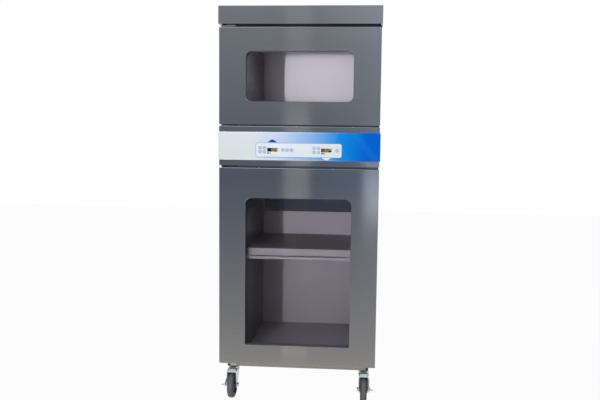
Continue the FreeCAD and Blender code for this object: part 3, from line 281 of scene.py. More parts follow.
def build_grain_group():
    """Brushed lines that run level round upright sheets, and along X on flat ones."""
    tree, given, out = new_group(
        "Brushed Grain", {"Contrast": ("NodeSocketFloat", 0.1)},
        {"Shade": "NodeSocketFloat", "Height": "NodeSocketFloat"})
    place, facing = axes(tree), axes(tree, "Normal")
    flat = calculate(tree, "GREATER_THAN", calculate(tree, "ABSOLUTE", facing["Z"]), 0.6)
    upright = calculate(tree, "SUBTRACT", 1.0, flat)
    across = calculate(tree, "ADD", times(tree, place["Z"], upright), times(tree, place["Y"], flat))
    along = calculate(tree, "ADD", place["X"], times(tree, place["Y"], upright))
    layers = []
    for lines, run in ((1400.0, 9.0), (160.0, 2.2)):
        where = spot(tree, X=times(tree, along, run), Y=times(tree, across, lines))
        layers.append(noise(tree, 1.0, vector=where))
    swing = calculate(tree, "SUBTRACT", calculate(tree, "ADD", *layers), 1.0)
    tree.links.new(calculate(tree, "MULTIPLY_ADD", swing, given["Contrast"], 1.0), out["Shade"])
    tree.links.new(layers[0], out["Height"])


def build_handling_group():
    """Soft cloudy marks that hands and cleaning leave."""
    tree, given, out = new_group("Handling Marks", {"Scale": ("NodeSocketFloat", 5.0)},
                                 {"Mask": "NodeSocketFloat"})
    clouds = noise(tree, given["Scale"], detail=4.0, roughness=0.6)
    tree.links.new(spread(tree, clouds, 0.38, 0.68), out["Mask"])


def build_texture_group():
    """Fine even texture of moulded plastic, rubber and sprayed paint, with broad faint patches."""
    tree, given, out = new_group("Fine Texture", {"Scale": ("NodeSocketFloat", 600.0)},
                                 {"Height": "NodeSocketFloat", "Patch": "NodeSocketFloat"})
    tree.links.new(noise(tree, given["Scale"]), out["Height"])
    tree.links.new(spread(tree, noise(tree, 18.0, detail=3.0), 0.3, 0.7), out["Patch"])


STEEL_PARTS = ("Head", "Waist", "Foot", "Side")


def build_height_group():
    """Painted reflection: three colours that blend into each other with height on the front, and fade to one
    on other sides.
    """
    tree, given, out = new_group("Height Tint", {name: ("NodeSocketColor", None) for name in STEEL_PARTS},
                                 {"Color": "NodeSocketColor"})
    place, facing = axes(tree), axes(tree, "Normal")
    foot, waist, shoulder = BOX["base_frame"][1].z, 1.1, 1.72
    top, edge, early = BOX["top_cap"][1].z, 0.38, 0.6
    climb = calculate(tree, "POWER", spread(tree, place["Z"], foot, waist), early)
    below = blend(tree, climb, given["Foot"], given["Waist"])
    whole = blend(tree, spread(tree, place["Z"], waist, top), below, given["Head"])
    # painted reflection: the right-hand half is lighter, more so above the waist and on the cap
    reflection_gain = calculate(tree, "ADD", spread(tree, place["Z"], 0.3, 1.2, 0.03, 0.3),
                     spread(tree, place["Z"], shoulder, shoulder + 0.14, 0.0, 0.2))
    right = calculate(tree, "MULTIPLY_ADD", spread(tree, place["X"], 0.0, edge), reflection_gain, 1.0)
    # painted reflection: the side colour takes over where the surface turns away from the front
    turned = spread(tree, facing["Y"], -0.9, -0.4, 0.0, 0.55)
    tree.links.new(blend(tree, turned, scaled(tree, whole, right), given["Side"]), out["Color"])


def build_fold_group():
    """Mask of the painted highlight on the folded corners, strongest where they face up."""
    tree, _, out = new_group("Folded Corners", {}, {"Mask": "NodeSocketFloat"})
    fold = add(tree, "ShaderNodeAttribute", attribute_name="fold").outputs["Fac"]
    rise = spread(tree, axes(tree, "Normal")["Z"], 0.0, 0.5, 0.1, 0.9)
    tree.links.new(times(tree, fold, rise), out["Mask"])


# ------------------------------------------------------------------ materials
MAKERS = {}


def colours(group="finish"):
    """The settings that finishes take their colours from."""
    return getattr(bpy.context.scene, f"cabinet_{group}")


def finish(maker):
    """Enters the function that follows as the maker of the material of its name."""
    MAKERS[maker.__name__] = maker
    return maker


def material(name):
    """The material of a slot or fine piece, made when it is first asked for."""
    made = bpy.data.materials.get(f"cabinet_{name}")
    if made is None:
        made = bpy.data.materials.new(f"cabinet_{name}")
        made.use_nodes = True
        MAKERS[name](made.node_tree, made.node_tree.nodes["Principled BSDF"])
    return made


def set_up(tree, surface, **values):
    """Sets or links inputs of the surface shader; underscores in the names stand for spaces."""
    for key, source in values.items():
        socket = surface.inputs[key.replace("_", " ")]
        if isinstance(source, bpy.types.NodeSocket):
            tree.links.new(source, socket)
        elif socket.type == "RGBA":
            socket.default_value = (*source[:3], 1)
        else:
            socket.default_value = source


def metal(tree, surface, colour, roughness, marks, directed, share=1.0):
    """Brushed metal: fine level lines, cloudy handling marks, and a sheen drawn out across the lines."""
    grain = use_group(tree, "Brushed Grain", Contrast=colours().grain)
    mask = use_group(tree, "Handling Marks", Scale=4.0)["Mask"]
    set_up(tree, surface, Base_Color=scaled(tree, colour, grain["Shade"]), Metallic=share,
           Roughness=between(tree, mask, roughness, roughness + marks),
           Anisotropic=directed, Normal=bump(tree, grain["Height"], 1.0, 0.00002),
           Tangent=spot(tree, X=0.0, Y=0.02, Z=1.0))


@finish
def brushed_steel(tree, surface):
    """Stainless sheet of doors, fascia and cap: painted reflection by height and side, painted highlight on
    folds.
    """
    parts = {name: (*getattr(colours(), f"steel_{name.lower()}"), 1) for name in STEEL_PARTS}
    # painted reflection that changes with height and side
    tall = use_group(tree, "Height Tint", **parts)["Color"]
    folds = use_group(tree, "Folded Corners")["Mask"]
    # painted highlight on the folds, over the painted reflection
    metal(tree, surface, blend(tree, folds, tall, colours().steel_fold), 0.1, 0.03, 1.0)


@finish
def frame_steel(tree, surface):
    """Stainless face that the doors close on, darker and bluer by painted shade, as it is seen in shadow in
    the gaps.
    """
    metal(tree, surface, colours().front_frame, 0.2, 0.05, 0.8)


@finish
def hinge_steel(tree, surface):
    """Thicker plate of the hinges, with painted shade: bright at the foot and the top, dark beside the
    fascia, where it lies in shadow.
    """
    height, above_foot, below_top, fade = axes(tree)["Z"], 0.3, 1.7, 0.2
    # painted shade on the plates beside the fascia
    dark = times(tree, spread(tree, height, above_foot, above_foot + fade),
                     spread(tree, height, below_top, below_top - fade))
    metal(tree, surface, blend(tree, dark, shade(176, 175, 176), shade(70, 68, 70)), 0.3, 0.08, 0.4)


@finish
def chamber_steel(tree, surface):
    """Satin stainless sheet of the upper chamber."""
    metal(tree, surface, colours().fluid_chamber, 0.45, 0.06, 0.3, 0.02)


@finish
def lower_chamber_steel(tree, surface):
    """Satin stainless sheet of the lower chamber, a copy of the upper chamber's sheet darkened by painted
    shade.
    """
    metal(tree, surface, colours().blanket_chamber, 0.45, 0.06, 0.3, 0.02)


@finish
def duct_steel(tree, surface):
    """Dark polished sheet of the air ducts, darker in the upper chamber by painted shade."""
    above_lower, below_upper = 1.15, 1.35
    # painted shade: the ducts of the upper chamber are darkened
    painted_upper_shade = spread(tree, axes(tree)["Z"], above_lower, below_upper, 1.0, 0.55)
    metal(tree, surface, scaled(tree, colours().ducts, painted_upper_shade), 0.28, 0.06, 0.3, 0.95)


@finish
def intake_steel(tree, surface):
    """Dark blue sheet of the slotted panel, painted shade on the upper back of the lower chamber."""
    metal(tree, surface, shade(34, 41, 68), 0.4, 0.06, 0.3, 0.2)


@finish
def louvre_steel(tree, surface):
    """Pressed hoods, with painted light and shade: bright where they face up and dull below."""
    # painted light on the upper faces, painted shade on the lower
    painted_top_light = spread(tree, axes(tree, "Normal")["Z"], 0.0, 0.8)
    metal(tree, surface, blend(tree, painted_top_light, shade(74, 77, 82), shade(198, 202, 208)), 0.3, 0.08, 0.4)


@finish
def pan_steel(tree, surface):
    """Paler satin sheet of the doors' inner pans."""
    metal(tree, surface, shade(150, 152, 156), 0.3, 0.08, 0.4, 0.7)


@finish
def shelf_steel(tree, surface):
    """Stainless sheet of the shelf and its rack."""
    metal(tree, surface, colours().shelf, 0.4, 0.08, 0.5, 0.7)


@finish
def zinc_sheet(tree, surface):
    """Galvanised sheet, with the faint spangle of the bath."""
    cells = add(tree, "ShaderNodeTexVoronoi", {"Vector": located(tree), "Scale": 90.0})
    crystals = cells.outputs["Distance"]
    set_up(tree, surface, Metallic=1.0, Roughness=between(tree, crystals, 0.36, 0.5),
           Base_Color=scaled(tree, shade(150, 155, 160), between(tree, crystals, 0.88, 1.08)))


@finish
def caster_zinc(tree, surface):
    """Bright zinc plate of the casters, duller where it has been handled."""
    mask = use_group(tree, "Handling Marks", Scale=40.0)["Mask"]
    colour = scaled(tree, colours().zinc, between(tree, mask, 1.0, 0.8))
    set_up(tree, surface, Base_Color=colour, Metallic=0.8,
           Roughness=between(tree, mask, 0.2, 0.42))


def coated(tree, surface, colour, roughness, scale, height, vary=0.06):
    """Paint, plastic or rubber with a fine texture and faint patches."""
    grain = use_group(tree, "Fine Texture", Scale=scale)
    tone = between(tree, grain["Patch"], 1.0 - vary, 1.0 + vary)
    set_up(tree, surface, Base_Color=scaled(tree, colour, tone),
           Roughness=between(tree, grain["Patch"], roughness - 0.04, roughness + 0.06),
           Normal=bump(tree, grain["Height"], 0.2, height))


@finish
def base_paint(tree, surface):
    """Powder coat of the base frame."""
    coated(tree, surface, colours().base, 0.5, 900.0, 0.0002)


@finish
def wheel_tread(tree, surface):
    """Dark rubber on the shoulders, with a painted highlight that makes it pale along the middle of the
    tread.
    """
    centre = abs(middle("front_left_wheel").x)
    off = calculate(tree, "SUBTRACT", centre, calculate(tree, "ABSOLUTE", axes(tree)["X"]))
    # painted highlight along the middle of the tread; the shoulders keep the dark rubber
    shoulder = spread(tree, calculate(tree, "ABSOLUTE", off), 5 * MM, 15 * MM)
    colour = blend(tree, shoulder, colours().tread, shade(66, 64, 68))
    coated(tree, surface, colour, 0.62, 700.0, 0.0003, 0.12)


@finish
def wheel_core(tree, surface):
    """Moulded core of a wheel."""
    coated(tree, surface, colours().core, 0.42, 500.0, 0.0002)


@finish
def black_plastic(tree, surface):
    """Moulded black plastic of the inlet."""
    coated(tree, surface, shade(34, 35, 38), 0.45, 800.0, 0.0002)


@finish
def seal_rubber(tree, surface):
    """Grey silicone that bonds the panes."""
    coated(tree, surface, shade(104, 110, 114), 0.38, 300.0, 0.0002)


@finish
def gasket_rubber(tree, surface):
    """Soft dark gasket of the doors."""
    coated(tree, surface, shade(44, 45, 49), 0.6, 400.0, 0.0003)


@finish
def bush_nylon(tree, surface):
    """White nylon of the hinge bushings."""
    coated(tree, surface, shade(222, 221, 214), 0.4, 300.0, 0.0002)


@finish
def motor_paint(tree, surface):
    """Black enamel of the blower motors."""
    coated(tree, surface, shade(46, 48, 52), 0.35, 400.0, 0.0003)


@finish
def mineral_wool(tree, surface):
    """Matted yellow-grey fibres."""
    place = add(tree, "ShaderNodeMapping", {"Vector": located(tree), "Scale": (1.0, 1.0, 6.0)})
    fibres = noise(tree, 160.0, detail=6.0, roughness=0.8, vector=place.outputs[0])
    set_up(tree, surface, Base_Color=blend(tree, fibres, shade(150, 138, 96), shade(206, 196, 152)),
           Roughness=0.95, Normal=bump(tree, fibres, 0.8, 0.002))


@finish
def circuit_board(tree, surface):
    """Green lacquered board with paler copper tracks under the lacquer."""
    tracks = add(tree, "ShaderNodeTexBrick", {
        "Vector": located(tree), "Color1": (*shade(20, 84, 52), 1), "Color2": (*shade(24, 92, 56), 1),
        "Mortar": (*shade(70, 132, 84), 1), "Scale": 160.0, "Mortar Size": 0.03})
    set_up(tree, surface, Base_Color=tracks.outputs["Color"], Roughness=0.3, Coat_Weight=0.4)


@finish
def heater_sheath(tree, surface):
    """Heat-tinted metal sheath of the ring elements."""
    heat = noise(tree, 22.0, detail=3.0)
    set_up(tree, surface, Base_Color=blend(tree, heat, shade(96, 84, 88), shade(150, 122, 92)),
           Metallic=1.0, Roughness=0.45)


@finish
def label_print(tree, surface):
    """Gloss label that goes from near white to deep blue, with broad pale bands that lean to the right."""
    inks = colours("label")
    place = axes(tree)
    low, high = BOX["control_label"]
    across = spread(tree, place["X"], low.x, high.x)
    slant = calculate(tree, "ADD", across, spread(tree, place["Z"], low.z, high.z, -0.11, 0.03))
    ramp = add(tree, "ShaderNodeValToRGB", {0: across})
    stops = ((0.0, inks.left), (0.2, inks.left), (0.36, inks.pale), (0.555, inks.centre),
             (0.745, inks.bright), (0.92, inks.right))
    points = ramp.color_ramp.elements
    while len(points) < len(stops):
        points.new(1.0)
    for point, (position, colour) in zip(points, stops):
        point.position = position
        point.color = (*colour, 1)
    turns, band_strength, highlight_strength = 38.0, 0.12, 0.4
    wave = calculate(tree, "SINE", times(tree, slant, turns))
    bands = times(tree, spread(tree, wave, 0.2, 1.0), spread(tree, across, 0.68, 0.85))
    banded = blend(tree, times(tree, bands, band_strength), ramp.outputs[0], shade(60, 165, 240))
    # painted highlight: a paler line along the upper and lower edges, which fades out toward the right
    rise = calculate(tree, "ABSOLUTE", spread(tree, place["Z"], low.z, high.z, -1.0, 1.0))
    edge = times(tree, spread(tree, rise, 0.9, 0.99), spread(tree, across, 0.8, 0.5))
    highlighted = blend(tree, times(tree, edge, highlight_strength), banded, shade(250, 252, 255))
    pattern = use_group(tree, "Fine Texture", Scale=1200.0)
    set_up(tree, surface, Base_Color=highlighted, Roughness=0.3, Specular_IOR_Level=0.05,
           Normal=bump(tree, pattern["Height"], 0.05, 0.0001))


def printed(tree, surface, colour):
    """Smooth film or ink on the label."""
    pattern = use_group(tree, "Fine Texture", Scale=1500.0)
    tone = between(tree, pattern["Patch"], 0.98, 1.02)
    set_up(tree, surface, Base_Color=scaled(tree, colour, tone), Roughness=0.34, Specular_IOR_Level=0.1,
           Normal=bump(tree, pattern["Height"], 0.05, 0.0001))


@finish
def keypad_panel(tree, surface):
    """Near-white film behind the keys."""
    printed(tree, surface, colours("label").panel)


@finish
def key_film(tree, surface):
    """Pale film of the key caps."""
    printed(tree, surface, shade(208, 217, 238))


@finish
def blue_ink(tree, surface):
    """Blue print."""
    printed(tree, surface, colours("label").ink)


@finish
def deep_ink(tree, surface):
    """Deep blue print."""
    printed(tree, surface, colours("label").deep_ink)


@finish
def white_ink(tree, surface):
    """White print."""
    printed(tree, surface, shade(244, 248, 252))


@finish
def pale_ink(tree, surface):
    """Pale grey-blue print."""
    printed(tree, surface, colours("label").pale_ink)


@finish
def dark_ink(tree, surface):
    """Dark print beside the displays."""
    printed(tree, surface, shade(30, 32, 44))


@finish
def display_lens(tree, surface):
    """Nearly black lens over the digits."""
    pattern = use_group(tree, "Fine Texture", Scale=900.0)
    tone = between(tree, pattern["Patch"], 0.9, 1.1)
    set_up(tree, surface, Base_Color=scaled(tree, shade(16, 12, 11), tone), Roughness=0.12,
           Specular_IOR_Level=0.15)


@finish
def digit_glow(tree, surface):
    """Lit segments, a little uneven from one to the next."""
    colour = colours("label").glow
    uneven = spread(tree, noise(tree, 220.0), 0.3, 0.7, 0.86, 1.0)
    set_up(tree, surface, Base_Color=shade(60, 42, 14), Roughness=0.5, Emission_Strength=1.0,
           Emission_Color=scaled(tree, colour, uneven))


@finish
def window_glass(tree, surface):
    """Clear pane of the doors."""
    set_up(tree, surface, Base_Color=shade(250, 248, 251), Roughness=0.0, IOR=1.09,
           Transmission_Weight=1.0)


@finish
def screw_steel(tree, surface):
    """Bright stainless of the screws."""
    mask = use_group(tree, "Handling Marks", Scale=60.0)["Mask"]
    colour = scaled(tree, shade(206, 209, 214), between(tree, mask, 1.0, 0.86))
    set_up(tree, surface, Base_Color=colour, Metallic=1.0,
           Roughness=between(tree, mask, 0.22, 0.36))


# ------------------------------------------------------------------ meshes
def plain_mesh(piece):
    """Applies the piece's modifiers, so that its mesh is plain."""
    graph = bpy.context.evaluated_depsgraph_get()
    result = bpy.data.meshes.new_from_object(piece.evaluated_get(graph), preserve_all_data_layers=True,
                                             depsgraph=graph)
    piece.modifiers.clear()
    piece.data = result


def new_piece(name, bm, angle=33, weighted=False):
    """A finished mesh object: normals outward, smooth except where faces meet at more than the angle."""
    bmesh.ops.remove_doubles(bm, verts=bm.verts, dist=1e-7)
    bmesh.ops.recalc_face_normals(bm, faces=bm.faces)
    mesh = bpy.data.meshes.new(name)
    bm.to_mesh(mesh)
    bm.free()
    mesh.shade_smooth()
    mesh.set_sharp_from_angle(angle=math.radians(angle))
    piece = bpy.data.objects.new(name, mesh)
    bpy.context.scene.collection.objects.link(piece)
    if weighted:
        piece.modifiers.new("Weighted Normal", "WEIGHTED_NORMAL").keep_sharp = True
        plain_mesh(piece)
    return piece


def hand_over(piece, body, slot, *nodes, look=None):
    """Gives a piece its material, of its look or else of its slot, and its body, and hides the nodes that it
    stands for.
    """
    piece.data.materials.clear()
    piece.data.materials.append(material(look or slot))
    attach(piece, body)
    if nodes:
        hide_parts(*nodes)


def merged_copy(node):
    """A node's mesh with its loose triangles joined into flat faces, as a bmesh."""
    bm = bmesh.new()
    bm.from_mesh(NODES[node].data)
    bmesh.ops.remove_doubles(bm, verts=bm.verts, dist=1e-5)
    bmesh.ops.dissolve_limit(bm, angle_limit=math.radians(0.5), verts=bm.verts, edges=bm.edges)
    return bm


def islands(bm):
    """The separate solids of a mesh, as lists of faces."""
    left = set(bm.faces)
    while left:
        found, queue = [], [left.pop()]
        while queue:
            face = queue.pop()
            found.append(face)
            near = {other for edge in face.edges for other in edge.link_faces} & left
            left -= near
            queue.extend(near)
        yield found


def outer_planes(edge, low, high):
    """The sides of a box that an edge lies on, as '+x', '-z' and so on."""
    sides = set()
    for axis, name in enumerate("xyz"):
        for sign, level in (("-", low[axis]), ("+", high[axis])):
            if all(abs(vert.co[axis] - level) < 1e-5 for vert in edge.verts):
                sides.add(sign + name)
    return sides


def convex(edge, least=30):
    """Whether two faces meet at an outside corner sharper than an angle."""
    return len(edge.link_faces) == 2 and edge.calc_face_angle_signed(0.0) > math.radians(least)


def bevel(bm, edges, width, segments):
    """Rounds or breaks edges, and gives the faces that this makes."""
    if not edges:
        return []
    return bmesh.ops.bevel(bm, geom=edges, offset=width, offset_type="OFFSET", segments=segments,
                           profile=0.5, affect="EDGES", clamp_overlap=True)["faces"]


def soften(node, suffix="sheet", open_sides=None, edge=None, look=None):
    """A copy that stands for its node: folds rounded except at open sides, and cut edges broken."""
    details = bpy.context.scene.cabinet_details
    bm = merged_copy(node)
    folds = []
    for faces in islands(bm) if open_sides else ():
        places = [vert.co for face in faces for vert in face.verts]
        low, high = (Vector([pick(place[axis] for place in places) for axis in range(3)])
                     for pick in (min, max))
        for line in {line for face in faces for line in face.edges}:
            sides = outer_planes(line, low, high)
            if convex(line) and len(sides) == 2 and not sides & set(open_sides):
                folds.append(line)
    # the fold faces are marked here for the painted highlight that the steel draws on them
    layer = bm.faces.layers.float.new("fold")
    for face in bevel(bm, folds, details.fold, 4):
        face[layer] = 1.0
    bevel(bm, [line for line in bm.edges if convex(line, 40)], edge or details.edge, 1)
    piece = new_piece(f"{node}_{suffix}", bm, weighted=True)
    hand_over(piece, BODY_OF[node], SLOT_OF[node], node, look=look)


def sweep(bm, loops):
    """Walls between closed loops of like points, and from the last loop back to the first."""
    rows = [[bm.verts.new(point) for point in loop] for loop in loops]
    for first, second in zip(rows, rows[1:] + rows[:1]):
        for number in range(len(first)):
            following = (number + 1) % len(first)
            bm.faces.new((first[number], first[following], second[following], second[number]))


def lathe(bm, profile, centre, steps):
    """Turns a closed profile of (along X, radius) points about an axis along X through a centre."""
    loops = []
    for step in range(steps):
        turn = math.tau * step / steps
        out = Vector((0, math.cos(turn), math.sin(turn)))
        loops.append([centre + Vector((along, 0, 0)) + out * radius for along, radius in profile])
    sweep(bm, loops)


def arc(x, z, radius, start, end, steps):
    """Points of an arc in the XZ plane, from one angle in degrees to another."""
    angles = (math.radians(start + (end - start) * step / steps) for step in range(steps + 1))
    return [(x + radius * math.cos(angle), z + radius * math.sin(angle)) for angle in angles]


def disc(x, z, radius, steps=32):
    """The outline of a disc."""
    return arc(x, z, radius, 0, 360, steps)[:-1]


def rounded(x, z, low_radius, high_radius=None, steps=8):
    """A rectangle between two spans, with one corner radius below and one above."""
    high_radius = low_radius if high_radius is None else high_radius
    (left, right), (low, high) = x, z
    return (arc(right - low_radius, low + low_radius, low_radius, -90, 0, steps)
            + arc(right - high_radius, high - high_radius, high_radius, 0, 90, steps)
            + arc(left + high_radius, high - high_radius, high_radius, 90, 180, steps)
            + arc(left + low_radius, low + low_radius, low_radius, 180, 270, steps))


def slot(centre, sides, radius, steps=2):
    """A rectangle of two sides about a centre, its corners rounded."""
    x, z = ((place - side / 2, place + side / 2) for place, side in zip(centre, sides))
    return rounded(x, z, radius, steps=steps)


def band(x, z, radius, width, start, end, steps=20):
    """The outline of a bent stroke."""
    outer = arc(x, z, radius + width / 2, start, end, steps)
    inner = arc(x, z, radius - width / 2, start, end, steps)
    return outer + inner[::-1]


def stroke(x0, z0, x1, z1, width):
    """The outline of a straight stroke."""
    along = Vector((x1 - x0, z1 - z0)).normalized() * width / 2
    return [(x0 + along.y, z0 - along.x), (x1 + along.y, z1 - along.x),
            (x1 - along.y, z1 + along.x), (x0 - along.y, z0 + along.x)]


def plate(bm, rings, front, back):
    """A flat plate between two Y levels: the first ring is its outline and the others are its holes."""
    points = [point for outline in rings for point in outline]
    near = [bm.verts.new((x, front, z)) for x, z in points]
    far = [bm.verts.new((x, back, z)) for x, z in points]
    for corners in tessellate_polygon([[Vector((x, z, 0)) for x, z in outline] for outline in rings]):
        bm.faces.new([near[corner] for corner in corners])
        bm.faces.new([far[corner] for corner in reversed(corners)])
    start = 0
    for outline in rings:
        count = len(outline)
        for number in range(count):
            here, after = start + number, start + (number + 1) % count
            bm.faces.new((near[here], near[after], far[after], far[here]))
        start += count


def print_on(face, name, shapes, body, slot, look):
    """A thin printed piece in front of a Y level: each shape is an outline and its holes."""
    thick = bpy.context.scene.cabinet_details.print_thick
    bm = bmesh.new()
    for rings in shapes:
        plate(bm, rings, face - thick, face)
    hand_over(new_piece(name, bm), body, slot, look=look)


def beam(bm, rings, left, right):
    """A bar along X between two levels: the rings are its outline and holes in the YZ plane."""
    before = set(bm.verts)
    plate(bm, rings, left, right)
    for vert in set(bm.verts) - before:
        vert.co = (vert.co.y, vert.co.x, vert.co.z)


# ------------------------------------------------------------------ geometry node trees
LENGTH = ("NodeSocketFloat", 10 * MM)
FINISH = ("NodeSocketMaterial", None)


def geometry_group(name, inputs):
    """A modifier tree with a geometry in and out."""
    made = new_group(name, {"Geometry": ("NodeSocketGeometry", None), **inputs},
                     {"Geometry": "NodeSocketGeometry"}, "GeometryNodeTree")
    made[0].is_modifier = True
    return made


def finish_tree(tree, given, out, geometry):
    """Ends a tree: instances made real, and the material set."""
    real = add(tree, "GeometryNodeRealizeInstances", {0: geometry})
    done = add(tree, "GeometryNodeSetMaterial", {"Geometry": real.outputs[0], "Material": given["Finish"]})
    tree.links.new(done.outputs[0], out["Geometry"])


def lifted(tree, geometry, height):
    """A shape moved up."""
    return add(tree, "GeometryNodeTransform", {"Geometry": geometry,
                                               "Translation": spot(tree, Z=height)}).outputs[0]


def build_screw_tree():
    """A pan head with a cross recess on every point, turned to the point's own facing."""
    tree, given, out = geometry_group("Screw Heads", {
        "Head Radius": LENGTH, "Head Height": LENGTH, "Seed": ("NodeSocketInt", 7), "Finish": FINISH})
    radius, height = given["Head Radius"], given["Head Height"]
    shoulder, crown = (times(tree, radius, share) for share in (0.92, 0.62))
    lower, upper = (times(tree, height, share) for share in (0.55, 0.45))
    head = add(tree, "GeometryNodeMeshBoolean", operation="UNION")
    for foot, top, tall, start in ((radius, shoulder, lower, 0.0), (shoulder, crown, upper, lower)):
        taper = add(tree, "GeometryNodeMeshCone", {"Vertices": 24, "Radius Top": top,
                                                   "Radius Bottom": foot, "Depth": tall})
        tree.links.new(lifted(tree, taper.outputs[0], start), head.inputs[1])
    recess = add(tree, "GeometryNodeMeshBoolean", {0: head.outputs[0]}, operation="DIFFERENCE")
    narrow, wide = (times(tree, radius, share) for share in (0.2, 1.1))
    for x, y in ((narrow, wide), (wide, narrow)):
        bar = add(tree, "GeometryNodeMeshCube", {"Size": spot(tree, X=x, Y=y, Z=height)}).outputs[0]
        tree.links.new(lifted(tree, bar, times(tree, height, 1.05)), recess.inputs[1])
    facing = add(tree, "GeometryNodeInputNamedAttribute", {"Name": "facing"}, data_type="FLOAT_VECTOR")
    aimed = add(tree, "FunctionNodeAlignRotationToVector", {"Vector": facing.outputs[0]}, axis="Z")
    angle = add(tree, "FunctionNodeRandomValue", {2: 0.0, 3: math.tau, "Seed": given["Seed"]},
                data_type="FLOAT")
    twist = add(tree, "FunctionNodeAxisAngleToRotation", {"Axis": (0, 0, 1), "Angle": angle.outputs[1]})
    turned = add(tree, "FunctionNodeRotateRotation", {0: aimed.outputs[0], 1: twist.outputs[0]},
                 rotation_space="LOCAL")
    heads = add(tree, "GeometryNodeInstanceOnPoints", {
        "Points": given["Geometry"], "Instance": recess.outputs[0], "Rotation": turned.outputs[0]})
    finish_tree(tree, given, out, heads.outputs[0])


def build_louvre_tree():
    """A pressed hood over every point, closed at its top and ends and open below."""
    tree, given, out = geometry_group("Louvre Bank", {
        "Width": LENGTH, "Height": LENGTH, "Depth": LENGTH, "Sheet": LENGTH, "Finish": FINISH})
    grid = add(tree, "GeometryNodeMeshGrid", {"Size X": given["Width"], "Size Y": given["Height"],
                                              "Vertices X": 17, "Vertices Y": 7})
    place = add(tree, "ShaderNodeSeparateXYZ", {0: add(tree, "GeometryNodeInputPosition").outputs[0]})
    half = times(tree, given["Width"], 0.5)
    across = calculate(tree, "DIVIDE", calculate(tree, "ABSOLUTE", place.outputs["X"]), half)
    ends = calculate(tree, "SUBTRACT", 1.0, calculate(tree, "POWER", across, 14.0))
    down = calculate(tree, "SUBTRACT", 0.5, calculate(tree, "DIVIDE", place.outputs["Y"], given["Height"]))
    swell = calculate(tree, "SINE", times(tree, down, math.pi / 2))
    rise = times(tree, times(tree, swell, ends), given["Depth"])
    where = spot(tree, X=times(tree, place.outputs["X"], -1.0), Y=rise, Z=place.outputs["Y"])
    hood = add(tree, "GeometryNodeSetPosition", {"Geometry": grid.outputs[0], "Position": where})
    wall = add(tree, "GeometryNodeExtrudeMesh", {"Mesh": hood.outputs[0], "Offset Scale": given["Sheet"],
                                                 "Individual": False})
    inside = add(tree, "GeometryNodeFlipFaces", {0: hood.outputs[0]})
    closed = add(tree, "GeometryNodeJoinGeometry")
    for side in (wall, inside):
        tree.links.new(side.outputs[0], closed.inputs[0])
    solid = add(tree, "GeometryNodeMergeByDistance", {"Geometry": closed.outputs[0], "Distance": 1e-6})
    hoods = add(tree, "GeometryNodeInstanceOnPoints", {"Points": given["Geometry"],
                                                       "Instance": solid.outputs[0]})
    finish_tree(tree, given, out, hoods.outputs[0])


def build_rib_tree():
    """Spokes that stiffen a wheel core, round every point, about the X axis."""
    tree, given, out = geometry_group("Wheel Ribs", {
        "Ribs": ("NodeSocketInt", 9), "Inner": LENGTH, "Outer": LENGTH, "Thickness": LENGTH,
        "Width": LENGTH, "Finish": FINISH})
    reach = calculate(tree, "SUBTRACT", given["Outer"], given["Inner"])
    centre = times(tree, calculate(tree, "ADD", given["Outer"], given["Inner"]), 0.5)
    bar = add(tree, "GeometryNodeMeshCube", {
        "Size": spot(tree, X=given["Width"], Y=given["Thickness"], Z=reach)}).outputs[0]
    line = add(tree, "GeometryNodeMeshLine", {"Count": given["Ribs"], "Offset": (0, 0, 0)})
    step = calculate(tree, "DIVIDE", math.tau, given["Ribs"])
    angle = times(tree, add(tree, "GeometryNodeInputIndex").outputs[0], step)
    turn = add(tree, "FunctionNodeAxisAngleToRotation", {"Axis": (1, 0, 0), "Angle": angle})
    ring = add(tree, "GeometryNodeInstanceOnPoints", {
        "Points": line.outputs[0], "Instance": lifted(tree, bar, centre), "Rotation": turn.outputs[0]})
    wheels = add(tree, "GeometryNodeInstanceOnPoints", {"Points": given["Geometry"],
                                                        "Instance": ring.outputs[0]})
    finish_tree(tree, given, out, wheels.outputs[0])


def grow(name, tree_name, points, facing=None, **values):
    """Runs a tree on a row of points and returns its result as a plain mesh object."""
    mesh = bpy.data.meshes.new(name)
    mesh.from_pydata(points, [], [])
    if facing:
        mesh.attributes.new("facing", "FLOAT_VECTOR", "POINT").data.foreach_set(
            "vector", [part for vector in facing for part in vector])
    piece = bpy.data.objects.new(name, mesh)
    bpy.context.scene.collection.objects.link(piece)
    modifier = piece.modifiers.new(tree_name, "NODES")
    modifier.node_group = bpy.data.node_groups[tree_name]
    for item in modifier.node_group.interface.items_tree:
        label = item.name.replace(" ", "_")
        if item.in_out == "INPUT" and label in values:
            modifier[item.identifier] = values[label]
    plain_mesh(piece)
    piece.data.shade_smooth()
    piece.data.set_sharp_from_angle(angle=math.radians(25))
    return piece


# ------------------------------------------------------------------ stage
def direct_rays(tree):
    """One for rays from the camera, from a mirror or through glass, unless a matt surface sent them."""
    path = add(tree, "ShaderNodeLightPath").outputs
    either = calculate(tree, "MAXIMUM", path["Is Camera Ray"], path["Is Glossy Ray"])
    any_of_them = calculate(tree, "MAXIMUM", either, path["Is Transmission Ray"])
    return times(tree, any_of_them, calculate(tree, "LESS_THAN", path["Diffuse Depth"], 0.5))


